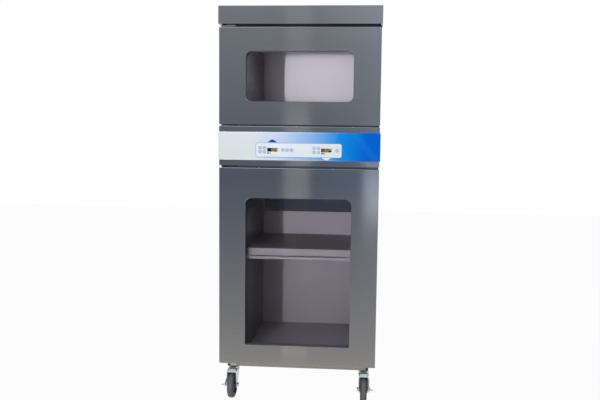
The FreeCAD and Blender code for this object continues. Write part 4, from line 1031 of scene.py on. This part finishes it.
class CABINET_OT_stage(bpy.types.Operator):
    """Set the camera, the lamps, the white surroundings and the floor"""
    bl_idname = "cabinet.stage"
    bl_label = "Set the Stage"

    def execute(self, context):
        studio = context.scene.cabinet_studio
        context.scene.view_settings.view_transform = "Standard"
        self.set_camera(context.scene, studio)
        self.set_world(context.scene, studio)
        self.lay_floor(studio)
        flash = self.hang_lamp("flash", (-0.93, -4.0, 1.25), (0.0, 0.0, 1.7), (0.05, 0.3), studio.flash)
        flash.visible_glossy = False
        flash.data.spread = math.radians(60)
        self.hang_lamp("top_lamp", (-1.2, -2.4, 3.6), (0.0, 0.0, 1.0), (2.0, 1.4), studio.top)
        self.hang_lamp("rear_lamp", (1.5, 3.2, 2.7), (0.0, 0.3, 1.0), (1.6, 1.2), studio.rear)
        straw, amber, cream, sheen = (1.0, 0.95, 0.66), (1.0, 0.83, 0.5), (1.0, 0.95, 0.78), studio.sheen
        self.hang_strip("tall_strip", (-0.31, -3.25, 1.6), (0.237, 3.15), sheen, straw)
        self.hang_strip("short_strip", (-0.305, -3.2, 1.05), (0.233, 0.9), 4 * sheen, amber)
        self.hang_strip("low_strip", (-0.08, -1.0, 0.25), (0.146, 0.48), sheen, cream, lights=True)
        self.hang_strip("right_strip", (0.52, -3.3, 0.82), (0.38, 0.4), 11 * sheen, cream)
        return {"FINISHED"}

    def set_camera(self, scene, studio):
        """The camera, from its place, its turn and its lens."""
        yaw, pitch, roll = studio.turn
        level_ahead = Vector((-math.sin(yaw), math.cos(yaw), 0))
        ahead = level_ahead * math.cos(pitch) - Vector((0, 0, math.sin(pitch)))
        level = Vector((math.cos(yaw), math.sin(yaw), 0))
        above = level.cross(ahead)
        right = level * math.cos(roll) + above * math.sin(roll)
        up = above * math.cos(roll) - level * math.sin(roll)
        lens = bpy.data.cameras.new("camera")
        lens.lens, lens.sensor_width, lens.shift_x = studio.lens, 36, studio.shift
        camera = bpy.data.objects.new("camera", lens)
        turned = Matrix((right, up, -ahead)).transposed().to_4x4()
        camera.matrix_world = Matrix.Translation(studio.place) @ turned
        scene.collection.objects.link(camera)
        scene.camera = camera

    def set_world(self, scene, studio):
        """White surroundings for the camera and for mirrors, and a weaker even light on matt surfaces."""
        scene.world = bpy.data.worlds.new("studio")
        scene.world.use_nodes = True
        tree = scene.world.node_tree
        fill = tree.nodes["Background"]
        fill.inputs["Color"].default_value = (1, 1, 1, 1)
        fill.inputs["Strength"].default_value = studio.fill
        seen = add(tree, "ShaderNodeBackground", {"Color": (1, 1, 1, 1), "Strength": 1.0})
        mixed = add(tree, "ShaderNodeMixShader", {0: direct_rays(tree), 1: fill.outputs[0],
                                                  2: seen.outputs[0]})
        tree.links.new(mixed.outputs[0], tree.nodes["World Output"].inputs["Surface"])

    def lay_floor(self, studio):
        """A floor that is nearly all white to the camera, and keeps only a faint shadow."""
        reach, whiteness = 9, 0.97
        bm = bmesh.new()
        bmesh.ops.create_grid(bm, x_segments=8, y_segments=8, size=reach)
        floor = new_piece("floor", bm)
        look = bpy.data.materials.new("floor")
        look.use_nodes = True
        tree = look.node_tree
        surface = tree.nodes["Principled BSDF"]
        set_up(tree, surface, Base_Color=studio.floor, Roughness=0.9)
        bright = add(tree, "ShaderNodeEmission", {"Color": (1, 1, 1, 1), "Strength": 1.0})
        share = times(tree, direct_rays(tree), whiteness)
        mixed = add(tree, "ShaderNodeMixShader", {0: share, 1: surface.outputs[0], 2: bright.outputs[0]})
        tree.links.new(mixed.outputs[0], tree.nodes["Material Output"].inputs["Surface"])
        floor.data.materials.append(look)

    def hang_strip(self, name, place, sides, radiance, colour, lights=False):
        """A weak upright lamp, mirrored in the steel as a paler band, that may also light matt surfaces."""
        power_density = 4.0 * radiance
        power = power_density * sides[0] * sides[1]
        strip = self.hang_lamp(name, place, (place[0], 0.0, place[2]), sides, power)
        strip.data.color = colour
        strip.visible_diffuse = lights

    def hang_lamp(self, name, place, aim, sides, power):
        """A rectangular lamp that faces a point, unseen by the camera."""
        lamp = bpy.data.lights.new(name, "AREA")
        lamp.shape = "RECTANGLE"
        lamp.size, lamp.size_y = sides
        lamp.energy = power
        holder = bpy.data.objects.new(name, lamp)
        holder.location = place
        holder.rotation_euler = (Vector(aim) - Vector(place)).to_track_quat("-Z", "Y").to_euler()
        holder.visible_camera = False
        bpy.context.scene.collection.objects.link(holder)
        return holder


# ------------------------------------------------------------------ pieces
class CABINET_OT_finish_frame(bpy.types.Operator):
    """Give every carried-over piece the material of its slot"""
    bl_idname = "cabinet.finish_frame"
    bl_label = "Finish the Frame"

    def execute(self, context):
        # the lower liner and the front frame take their copies with painted shade
        finishes = {**SLOT_OF, "lower_liner": "lower_chamber_steel", "front_frame": "frame_steel",
                    "upper_air_ducts": "duct_steel", "lower_air_ducts": "duct_steel"}
        for node, item in NODES.items():
            for held in item.material_slots:
                held.material = material(finishes[node])
        for level in LEVELS:
            NODES[f"{level}_door_panes"].visible_shadow = False
        return {"FINISHED"}


class CABINET_OT_carcass(bpy.types.Operator):
    """Fold the cap, the side skins, the front frame, the rear cover and the base"""
    bl_idname = "cabinet.carcass"
    bl_label = "Fold the Carcass"

    def execute(self, context):
        soften("top_cap", open_sides=["-z"])
        soften("side_panel_left", open_sides=["+x", "-z", "+z"])
        soften("side_panel_right", open_sides=["-x", "-z", "+z"])
        soften("bottom_pan", open_sides=["+z"])
        soften("front_frame", look="frame_steel")
        soften("back_panel")
        soften("base_frame", "channels", open_sides=["+z"])
        soften("hinge_brackets", "plates", edge=0.8 * MM)
        self.cap_rails()
        return {"FINISHED"}

    def cap_rails(self):
        """Moulded caps on the ends of the front channel of the base."""
        low, high = BOX["base_frame"]
        inner, outer = high.x - 7 * MM, high.x + 6 * MM
        outline = rounded((low.y - 4.5 * MM, low.y + 20 * MM), (low.z + MM, high.z - 5 * MM), 2 * MM,
                          steps=4)
        bm = bmesh.new()
        for side in (-1, 1):
            beam(bm, [outline], *sorted((side * inner, side * outer)))
        hand_over(new_piece("rail_caps", bm), "cabinet", "black_plastic")


class CABINET_OT_doors(bpy.types.Operator):
    """Fold the doors, bed their glass in silicone and hang their gaskets"""
    bl_idname = "cabinet.doors"
    bl_label = "Fold the Doors"

    def execute(self, context):
        for level in LEVELS:
            soften(f"{level}_door_skin", open_sides=["+y"])
            soften(f"{level}_door_pan", look="pan_steel")
            soften(f"{level}_hinge_blocks", "bushed", edge=0.8 * MM)
            self.bed_glass(level)
            self.hang_gasket(level)
        return {"FINISHED"}

    def bed_glass(self, level):
        """Silicone fillets round both faces of the glazing, webbed at the round corners."""
        low, high = BOX[f"{level}_door_panes"]
        bottom, top = low.z + PANE_LAP, high.z - PANE_LAP
        bead, rise, web = 1.0 * MM, 1.1 * MM, 8 * MM
        bm = bmesh.new()
        for face, way in ((low.y, -1), (high.y, 1)):
            loops = []
            for share, height in ((0.0, 0.0), (0.0, rise), (0.35, 0.75 * rise), (1.0, 0.0)):
                inset = bead * share
                radii = (radius + web * share if radius > web else radius for radius in WINDOW_RADII[level])
                outline = rounded((inset - WINDOW_SIDE, WINDOW_SIDE - inset), (bottom + inset, top - inset),
                                  *radii)
                loops.append([(x, face + way * height, z) for x, z in outline])
            sweep(bm, loops)
        hand_over(new_piece(f"{level}_window_bead", bm), f"{level}_door", "seal_rubber")

    def hang_gasket(self, level):
        """Magnetic gasket: a flat foot, a bellows and a magnet pocket, mitred at its corners."""
        low, high = BOX[f"{level}_door_gasket"]
        width, depth = 16 * MM, high.y - low.y
        # points of the section as shares of its width, from the outside in, and of its depth
        profile = [(0.0, 0.0), (1.0, 0.0), (1.0, 0.16), (0.72, 0.2), (0.72, 0.34), (0.92, 0.44),
                   (0.92, 0.96), (0.88, 1.0), (0.14, 1.0), (0.1, 0.96), (0.1, 0.44), (0.3, 0.34),
                   (0.3, 0.2), (0.0, 0.16)]
        corners = ((low.x, low.z, 1, 1), (high.x, low.z, -1, 1), (high.x, high.z, -1, -1),
                   (low.x, high.z, 1, -1))
        bm = bmesh.new()
        sweep(bm, [[(x + right * width * inset, low.y + depth * rise, z + up * width * inset)
                    for inset, rise in profile] for x, z, right, up in corners])
        hand_over(new_piece(f"{level}_gasket_bellows", bm), f"{level}_door", "gasket_rubber",
                  f"{level}_door_gasket")


class CABINET_OT_shelf(bpy.types.Operator):
    """Fold the shelf and break the edges of its rack"""
    bl_idname = "cabinet.shelf"
    bl_label = "Fit the Shelf"

    def execute(self, context):
        soften("shelf", open_sides=["-z"])
        low, high = BOX["shelf_rack"]
        bar, gap, corner = 22 * MM, 5 * MM, 1.5 * MM
        bm = bmesh.new()
        for side in (-1, 1):
            span = sorted((side * high.x, side * (high.x - bar)))
            plate(bm, [rounded(span, (low.z, high.z), corner, steps=3)], low.y, high.y)
        for start in (low.y, high.y - bar):
            outline = rounded((start, start + bar), (low.z, high.z - gap), corner, steps=3)
            beam(bm, [outline], bar - high.x, high.x - bar)
        hand_over(new_piece("shelf_rack_bars", bm), "cabinet", SLOT_OF["shelf_rack"], "shelf_rack")
        return {"FINISHED"}


class CABINET_OT_intake(bpy.types.Operator):
    """Hang a dark slotted panel, shaped as an air intake, at the back of the lower chamber, where it stands
    in for shade
    """
    bl_idname = "cabinet.intake"
    bl_label = "Hang the Shade Panel"

    def execute(self, context):
        back = BOX["lower_air_ducts"][1].y - 0.4 * MM
        half, foot, top, margin = 250 * MM, 880 * MM, 1096 * MM, 14 * MM
        width, height, across, up = 38 * MM, 5 * MM, 52 * MM, 17 * MM
        columns, rows = range(-4, 5), range(12)
        slots = [slot((column * across, foot + margin + row * up), (width, height), 0.45 * height)
                 for column in columns for row in rows]
        outline = rounded((-half, half), (foot, top), 4 * MM, steps=3)
        bm = bmesh.new()
        plate(bm, [outline, *slots], back - 9 * MM, back - 2 * MM)
        plate(bm, [outline], back - MM, back)
        # a dark sheet, painted shade on the upper part of the lower chamber's back wall
        hand_over(new_piece("lower_intake_panel", bm), "cabinet", "chamber_steel", look="intake_steel")
        return {"FINISHED"}


class CABINET_OT_fascia(bpy.types.Operator):
    """Fold the fascia and print the control label"""
    bl_idname = "cabinet.fascia"
    bl_label = "Fit the Fascia"

    def execute(self, context):
        soften("control_fascia", open_sides=["+y"])
        soften("control_label", "plate")
        soften("display_windows", "lenses")
        self.height = middle("display_windows").z
        self.lay_panel()
        self.draw_arrows()
        self.draw_marks()
        return {"FINISHED"}

    def print_part(self, name, shapes, look, level=0):
        """A thin printed part on the label, or on what is already printed there."""
        face = BOX["control_label"][0].y - level * bpy.context.scene.cabinet_details.print_thick
        print_on(face, name, shapes, "cabinet", "label_print", look)

    def lay_panel(self):
        """Pale panel with its blue outline, open round the keys and the displays."""
        margin, line, corner, key_hole = 0.2 * MM, 1.8 * MM, 12 * MM, 7.9 * MM
        holes = [disc(middle(key).x, middle(key).z, key_hole + margin) for key in KEYS]
        sides = (DISPLAY_WIDTH + 2 * margin, DISPLAY_HEIGHT + 2 * margin)
        holes += [slot((x, self.height), sides, 3 * margin, steps=3) for x in DISPLAY_X.values()]
        half, low, high = 203 * MM, self.height - 35 * MM, self.height + 33 * MM
        outer = rounded((-half, half), (low, high), corner)
        inner = rounded((line - half, half - line), (low + line, high - line), corner - line)
        self.print_part("keypad_panel", [[inner, *holes]], "keypad_panel")
        self.print_part("keypad_outline", [[outer, inner]], "blue_ink")

    def draw_arrows(self):
        """Arrow heads that point to the chamber of each display."""
        tip = 3 * MM
        for level, start, half, rise, look in (("upper", 35 * MM, 24 * MM, 13 * MM, "deep_ink"),
                                               ("lower", -35 * MM, 22 * MM, -11 * MM, "white_ink")):
            x, z = DISPLAY_X[level], self.height + start
            head = [(x - half, z), (x + half, z), (x + tip, z + rise), (x - tip, z + rise)]
            self.print_part(f"{level}_arrow", [[head]], look)

    def draw_marks(self):
        """A ring, a block and a bar under each display, and two dots beside the left one."""
        tall, hole, drop, dot = 3.2 * MM, 0.6 * MM, 6.6 * MM, 1.7 * MM
        marks = []
        for x in DISPLAY_X.values():
            left, level = x - DISPLAY_WIDTH / 2, self.height - DISPLAY_HEIGHT / 2 - drop
            marks.append([disc(left + 2.6 * MM, level, radius, steps=20) for radius in (tall, hole)])
            for start, end in ((6.4 * MM, 11 * MM), (14 * MM, 17 * MM)):
                marks.append([rounded((left + start, left + end), (level - tall, level + tall), 0.4 * MM,
                                      steps=2)])
        self.print_part("display_marks", marks, "dark_ink", level=1)
        beside = DISPLAY_X["upper"] + DISPLAY_WIDTH / 2 + 7 * MM
        for name, rise, look in (("upper_scale_mark", 6 * MM, "pale_ink"),
                                 ("upper_scale_lamp", -5 * MM, "digit_glow")):
            self.print_part(name, [[disc(beside, self.height + rise, dot, steps=20)]], look, level=1)


SEGMENTS = {"0": "abcdef", "1": "bc", "2": "abged", "3": "abgcd", "4": "fgbc", "5": "afgcd", "6": "afgedc",
            "7": "abc", "8": "abcdefg", "9": "abcdfg", "'": "abfg", " ": ""}


class CABINET_OT_digits(bpy.types.Operator):
    """Light the seven-segment digits of the two displays"""
    bl_idname = "cabinet.digits"
    bl_label = "Light the Displays"

    def execute(self, context):
        words = context.scene.cabinet_label
        front, height, pitch = BOX["display_windows"][0].y, middle("display_windows").z, 11.8 * MM
        for level, reading in (("upper", words.upper_reading), ("lower", words.lower_reading)):
            start = DISPLAY_X[level] - (len(reading) - 1) / 2 * pitch
            shapes = [[outline] for number, letter in enumerate(reading)
                      for outline in self.lit(letter, start + number * pitch, height)]
            if not shapes:
                raise RuntimeError(f"the {level} display has no lit segment")
            print_on(front, f"{level}_digits", shapes, "cabinet", "display_lens", "digit_glow")
        return {"FINISHED"}

    def lit(self, letter, x, z):
        """Outlines of a digit's lit segments, leaning a little to the right."""
        wide, tall, thick, gap, lean = 3.1 * MM, 6.1 * MM, 2.0 * MM, 0.25 * MM, 0.1
        ends = {"a": (-1, 1, 1, 1), "b": (1, 1, 1, 0), "c": (1, 0, 1, -1), "d": (-1, -1, 1, -1),
                "e": (-1, 0, -1, -1), "f": (-1, 1, -1, 0), "g": (-1, 0, 1, 0)}
        for name in SEGMENTS[letter]:
            x0, z0, x1, z1 = ends[name]
            first, second = Vector((x0 * wide, z0 * tall)), Vector((x1 * wide, z1 * tall))
            along = (second - first).normalized()
            first, second = first + along * gap, second - along * gap
            along *= thick / 2
            side = Vector((-along.y, along.x))
            outline = [first, first + along - side, second - along - side, second,
                       second - along + side, first + along + side]
            yield [(x + point.x + lean * point.y, z + point.y) for point in outline]


def key_symbols():
    """Outlines of each kind of key's symbol about (0, 0), in millimetres."""
    return {
        "program": [[rounded((-3.2, 3.2), (z - 0.45, z + 0.45), 0.3, steps=2)] for z in (-2.2, 0, 2.2)],
        "warmer": [[[(-3.2, -2.2), (3.2, -2.2), (0, 3.2)]]],
        "cooler": [[[(-3.2, 2.2), (0, -3.2), (3.2, 2.2)]]],
        "timer": [[disc(0, 0, 3.6), disc(0, 0, 2.9)], [stroke(0, 0.3, 0, 2.3, 0.7)],
                  [stroke(-0.2, 0, 1.8, 0, 0.7)]],
        "unit": [[disc(-2.0, 1.8, 1.4, 20), disc(-2.0, 1.8, 0.8, 20)], [stroke(-1.6, -3.2, 2.4, 3.2, 0.7)],
                 [disc(2.2, -2.0, 1.4, 20), disc(2.2, -2.0, 0.8, 20)]],
        "lock": [[rounded((-2.6, 2.6), (-3.2, 0.6), 0.5, steps=3)], [band(0, 0.8, 1.7, 0.7, 0, 180)]],
        "alarm": [[arc(0, 0.2, 2.6, 0, 180, 16) + [(-3.2, -1.8), (3.2, -1.8)]],
                  [band(0, -2.0, 1.2, 0.7, 200, 340, 8)]],
        "power": [[band(0, 0, 2.8, 0.8, 120, 420, 28)], [stroke(0, 0.6, 0, 3.4, 0.8)]],
    }


class CABINET_OT_keys(bpy.types.Operator):
    """Round off the keys and print a ring and a symbol on each"""
    bl_idname = "cabinet.keys"
    bl_label = "Set the Keys"

    def execute(self, context):
        symbols, scale = key_symbols(), 0.9 * MM
        for key in KEYS:
            soften(key, "cap", edge=0.3 * MM)
            kind = key.split("_")[-2]
            centre, face = middle(key), BOX[key][0].y
            ring = [[disc(centre.x, centre.z, radius) for radius in (7.3 * MM, 5.5 * MM)]]
            symbol = [[[(centre.x + x * scale, centre.z + z * scale) for x, z in outline]
                       for outline in rings] for rings in symbols[kind]]
            ring_ink = "pale_ink" if centre.x > 0 else "blue_ink"
            print_on(face, f"{key}_ring", ring, BODY_OF[key], "key_film", ring_ink)
            print_on(face, f"{key}_symbol", symbol, BODY_OF[key], "key_film", "pale_ink")
        return {"FINISHED"}


class CABINET_OT_casters(bpy.types.Operator):
    """Mount the casters: stems, forks, wheels and brake levers"""
    bl_idname = "cabinet.casters"
    bl_label = "Mount the Casters"
    RIM = 46 * MM

    def execute(self, context):
        soften("caster_stems", "races", edge=0.9 * MM)
        for corner in CASTERS:
            soften(f"{corner}_fork", "stamping", edge=0.9 * MM)
            self.mould_tyre(corner)
            self.mould_core(corner, context.scene.cabinet_details.ribs)
            self.press_hood(corner)
            self.fit_guards(corner)
        for corner in CASTERS[:2]:
            soften(f"{corner}_brake_lever", "pedal", edge=0.7 * MM)
        return {"FINISHED"}

    def mould_tyre(self, corner):
        """Rubber tyre, rounded at its shoulders and a little crowned."""
        node = f"{corner}_wheel"
        outer, half, crown = (BOX[node][1].z - BOX[node][0].z) / 2, 16 * MM, 0.3 * MM
        bend, flat = 10 * MM, 3 * MM
        shoulder = arc(half - bend, outer - bend - MM, bend, 0, 90, 8)
        right = [(half - MM, self.RIM), (half, self.RIM + MM), *shoulder, (flat, outer - crown)]
        profile = [*right, (0, outer), *[(-x, radius) for x, radius in right[::-1]]]
        bm = bmesh.new()
        lathe(bm, profile, middle(node), steps=72)
        hand_over(new_piece(f"{corner}_tyre", bm), BODY_OF[node], "wheel_tread", node)

    def mould_core(self, corner, count):
        """Core with its hub, web and rim, and the ribs on both sides of the web."""
        node = f"{corner}_wheel"
        hub, rim = [(20, 6.1), (20, 14), (19, 15)], [(12, 42), (15, 43)]
        web = [(8, 17), (4, 20), (4, 38), (6, 41)]
        right = [(x * MM, radius * MM) for x, radius in hub + web + rim] + [(15 * MM, self.RIM - 0.1 * MM)]
        bm = bmesh.new()
        lathe(bm, right + [(-x, radius) for x, radius in right[::-1]], middle(node), steps=64)
        hand_over(new_piece(f"{corner}_core", bm), BODY_OF[node], "wheel_tread", look="wheel_core")
        ribs = grow(f"{corner}_ribs", "Wheel Ribs", [middle(node)], Ribs=count, Inner=15 * MM,
                    Outer=42.5 * MM, Thickness=2.2 * MM, Width=22 * MM, Finish=material("wheel_core"))
        hand_over(ribs, BODY_OF[node], "wheel_tread", look="wheel_core")

    def press_hood(self, corner):
        """Domed front of the fork's crown, with the apron below it."""
        centre, crown = middle(f"{corner}_wheel"), 138 * MM
        dome = [(-26, 137.8), (-26, 150), (-41, 150), (-46.5, 146.5), (-50.4, 137.8)]
        apron = [(-48, 137.6), (-50.7, 137.6), (-53.6, 130.6), (-51.2, 130.6)]
        for name, outline, half, width in (("dome", dome, 19, 5), ("apron", apron, 22.5, 0.8)):
            bm = bmesh.new()
            beam(bm, [self.beside(centre, outline)], centre.x - half * MM, centre.x + half * MM)
            bmesh.ops.recalc_face_normals(bm, faces=bm.faces)
            ends = [line for line in bm.edges if convex(line, 20) and (
                name == "apron" or all(vert.co.z > crown for vert in line.verts))]
            bevel(bm, ends, width * MM, 4)
            hand_over(new_piece(f"{corner}_{name}", bm, angle=50, weighted=True), f"{corner}_swivel",
                      "caster_zinc")

    def fit_guards(self, corner):
        """Thread guards beside the wheel, cut round above its hub, and the bridge that joins them."""
        centre = middle(f"{corner}_wheel")
        outline = [(-19.5, 74), (20, 123), (20, 133), (-48, 133), (-52.5, 121), (-50.5, 74)]
        inner, outer, hub_room = 16.5 * MM, 21.4 * MM, 16.2 * MM
        rings = [self.beside(centre, outline) + arc(centre.y, centre.z, hub_room, 146, 34, 12)]
        bm = bmesh.new()
        for side in (-1, 1):
            beam(bm, rings, *sorted((centre.x + side * inner, centre.x + side * outer)))
        bridge, half = [(-50, 127.9), (-45, 127.9), (-45, 133.5), (-50, 133.5)], inner - 0.1 * MM
        beam(bm, [self.beside(centre, bridge)], centre.x - half, centre.x + half)
        hand_over(new_piece(f"{corner}_guards", bm), f"{corner}_swivel", "black_plastic")

    def beside(self, centre, outline):
        """Points given in millimetres from the swivel axis and the floor, placed at a caster."""
        return [(centre.y + CASTER_TRAIL + y * MM, z * MM) for y, z in outline]


class CABINET_OT_screws(bpy.types.Operator):
    """Drive the screws of the cap, fascia, doors and rear cover"""
    bl_idname = "cabinet.screws"
    bl_label = "Drive the Screws"

    def execute(self, context):
        details = context.scene.cabinet_details
        heads = {}
        for body, row, way in self.rows():
            points, facing = heads.setdefault(body, ([], []))
            points += row
            facing += [way] * len(row)
        for body, (points, facing) in heads.items():
            piece = grow(f"{body}_screws", "Screw Heads", points, facing, Head_Radius=details.screw_radius,
                         Head_Height=details.screw_rise, Finish=material("screw_steel"))
            hand_over(piece, body, "hinge_steel", look="screw_steel")
        return {"FINISHED"}

    def rows(self):
        """The body, the points and the facing of each row of screws."""
        up, down, front, back = (0, 0, 1), (0, 0, -1), (0, -1, 0), (0, 1, 0)
        fascia, cover, cap = BOX["control_fascia"], BOX["back_panel"], BOX["top_cap"]
        inset, rim, along_fascia, along_cap = 12 * MM, 9 * MM, (-282, -12, 251), (-200, 0, 200)
        yield "cabinet", [(x * MM, fascia[0].y + inset, fascia[1].z) for x in along_fascia], up
        edge, low, high = cover[1].x - rim, cover[0].z + rim, cap[0].z - rim
        yield "cabinet", [(side * edge, cover[1].y, low + (high - low) * step / 6)
                          for side in (-1, 1) for step in range(7)], back
        yield "cabinet", [(edge * step / 3, cover[1].y, z)
                          for step in range(-2, 3) for z in (low, high)], back
        for side in (-1, 1):
            yield "cabinet", [(side * cap[1].x, y * MM, cap[0].z + inset) for y in along_cap], (side, 0, 0)
        for level in LEVELS:
            low, high = BOX[f"{level}_air_ducts"]
            for side in (-1, 1):
                yield "cabinet", [(side * DUCT_FACE, y, z) for y in (low.y + inset, high.y - inset)
                                  for z in (low.z + inset, high.z - inset)], (-side, 0, 0)
        centre, inlet_face, ear = middle("power_inlet"), BOX["power_inlet"][1].y, 20 * MM
        yield "cabinet", [(centre.x + side * ear, inlet_face, centre.z) for side in (-1, 1)], back
        rail, rail_height, along_rail = BOX["base_frame"][0].y - 3 * MM, 172 * MM, (-326, -306)
        yield "cabinet", [(x * MM, rail, rail_height) for x in along_rail], front
        top_row, both_rows = (-4,), (-187, 160)
        for level, places in (("upper", top_row), ("lower", both_rows)):
            low, high = BOX[f"{level}_door_skin"]
            yield f"{level}_door", [(x * MM, low.y + inset, high.z) for x in places], up
        yield "lower_door", [(x * MM, low.y + inset, low.z) for x in both_rows], down


class CABINET_OT_louvres(bpy.types.Operator):
    """Press the hoods over the slots of the rear cover"""
    bl_idname = "cabinet.louvres"
    bl_label = "Press the Louvres"

    def execute(self, context):
        back = BOX["back_panel"][1].y
        centre, first, pitch, rows = 160 * MM, 1160 * MM, 15 * MM, 11
        width, height = (200 + 2 * 4) * MM, (6 + 2 * 1.5) * MM
        points = [(side * centre, back, first + height / 2 + pitch * row)
                  for side in (-1, 1) for row in range(rows)]
        hoods = grow("rear_louvres", "Louvre Bank", points, Width=width, Height=height,
                     Depth=context.scene.cabinet_details.louvre, Sheet=0.7 * MM,
                     Finish=material("louvre_steel"))
        hand_over(hoods, "cabinet", SLOT_OF["back_panel"], look="louvre_steel")
        return {"FINISHED"}


class CABINET_OT_inlet(bpy.types.Operator):
    """Round off the mains inlet"""
    bl_idname = "cabinet.inlet"
    bl_label = "Fit the Inlet"

    def execute(self, context):
        soften("power_inlet", "moulding", edge=0.5 * MM)
        return {"FINISHED"}


STEPS = (CABINET_OT_stage, CABINET_OT_finish_frame, CABINET_OT_carcass, CABINET_OT_doors, CABINET_OT_shelf,
         CABINET_OT_intake, CABINET_OT_fascia, CABINET_OT_digits, CABINET_OT_keys, CABINET_OT_casters,
         CABINET_OT_screws, CABINET_OT_louvres, CABINET_OT_inlet)


class CABINET_PT_panel(bpy.types.Panel):
    """Lists the build steps and the settings"""
    bl_idname = "CABINET_PT_panel"
    bl_label = "Warming Cabinet"
    bl_space_type = "VIEW_3D"
    bl_region_type = "UI"
    bl_category = "Cabinet"

    def draw(self, context):
        for step in STEPS:
            self.layout.operator(step.bl_idname)
        for name, kind in SETTINGS.items():
            column = self.layout.column()
            column.label(text=kind.__doc__)
            for setting in kind.__annotations__:
                column.prop(getattr(context.scene, name), setting)


CLASSES = (*SETTINGS.values(), *STEPS, CABINET_PT_panel)


def register():
    for item in CLASSES:
        bpy.utils.register_class(item)
    for name, kind in SETTINGS.items():
        setattr(bpy.types.Scene, name, PointerProperty(type=kind))


def unregister():
    for name in SETTINGS:
        delattr(bpy.types.Scene, name)
    for item in reversed(CLASSES):
        bpy.utils.unregister_class(item)


def main():
    """Registers the add-on and builds every piece in order."""
    register()
    for build_group in (build_grain_group, build_handling_group, build_texture_group, build_height_group,
                        build_fold_group, build_screw_tree, build_louvre_tree, build_rib_tree):
        build_group()
    for step in STEPS:
        family, name = step.bl_idname.split(".")
        getattr(getattr(bpy.ops, family), name)()


if __name__ == "__main__":
    main()
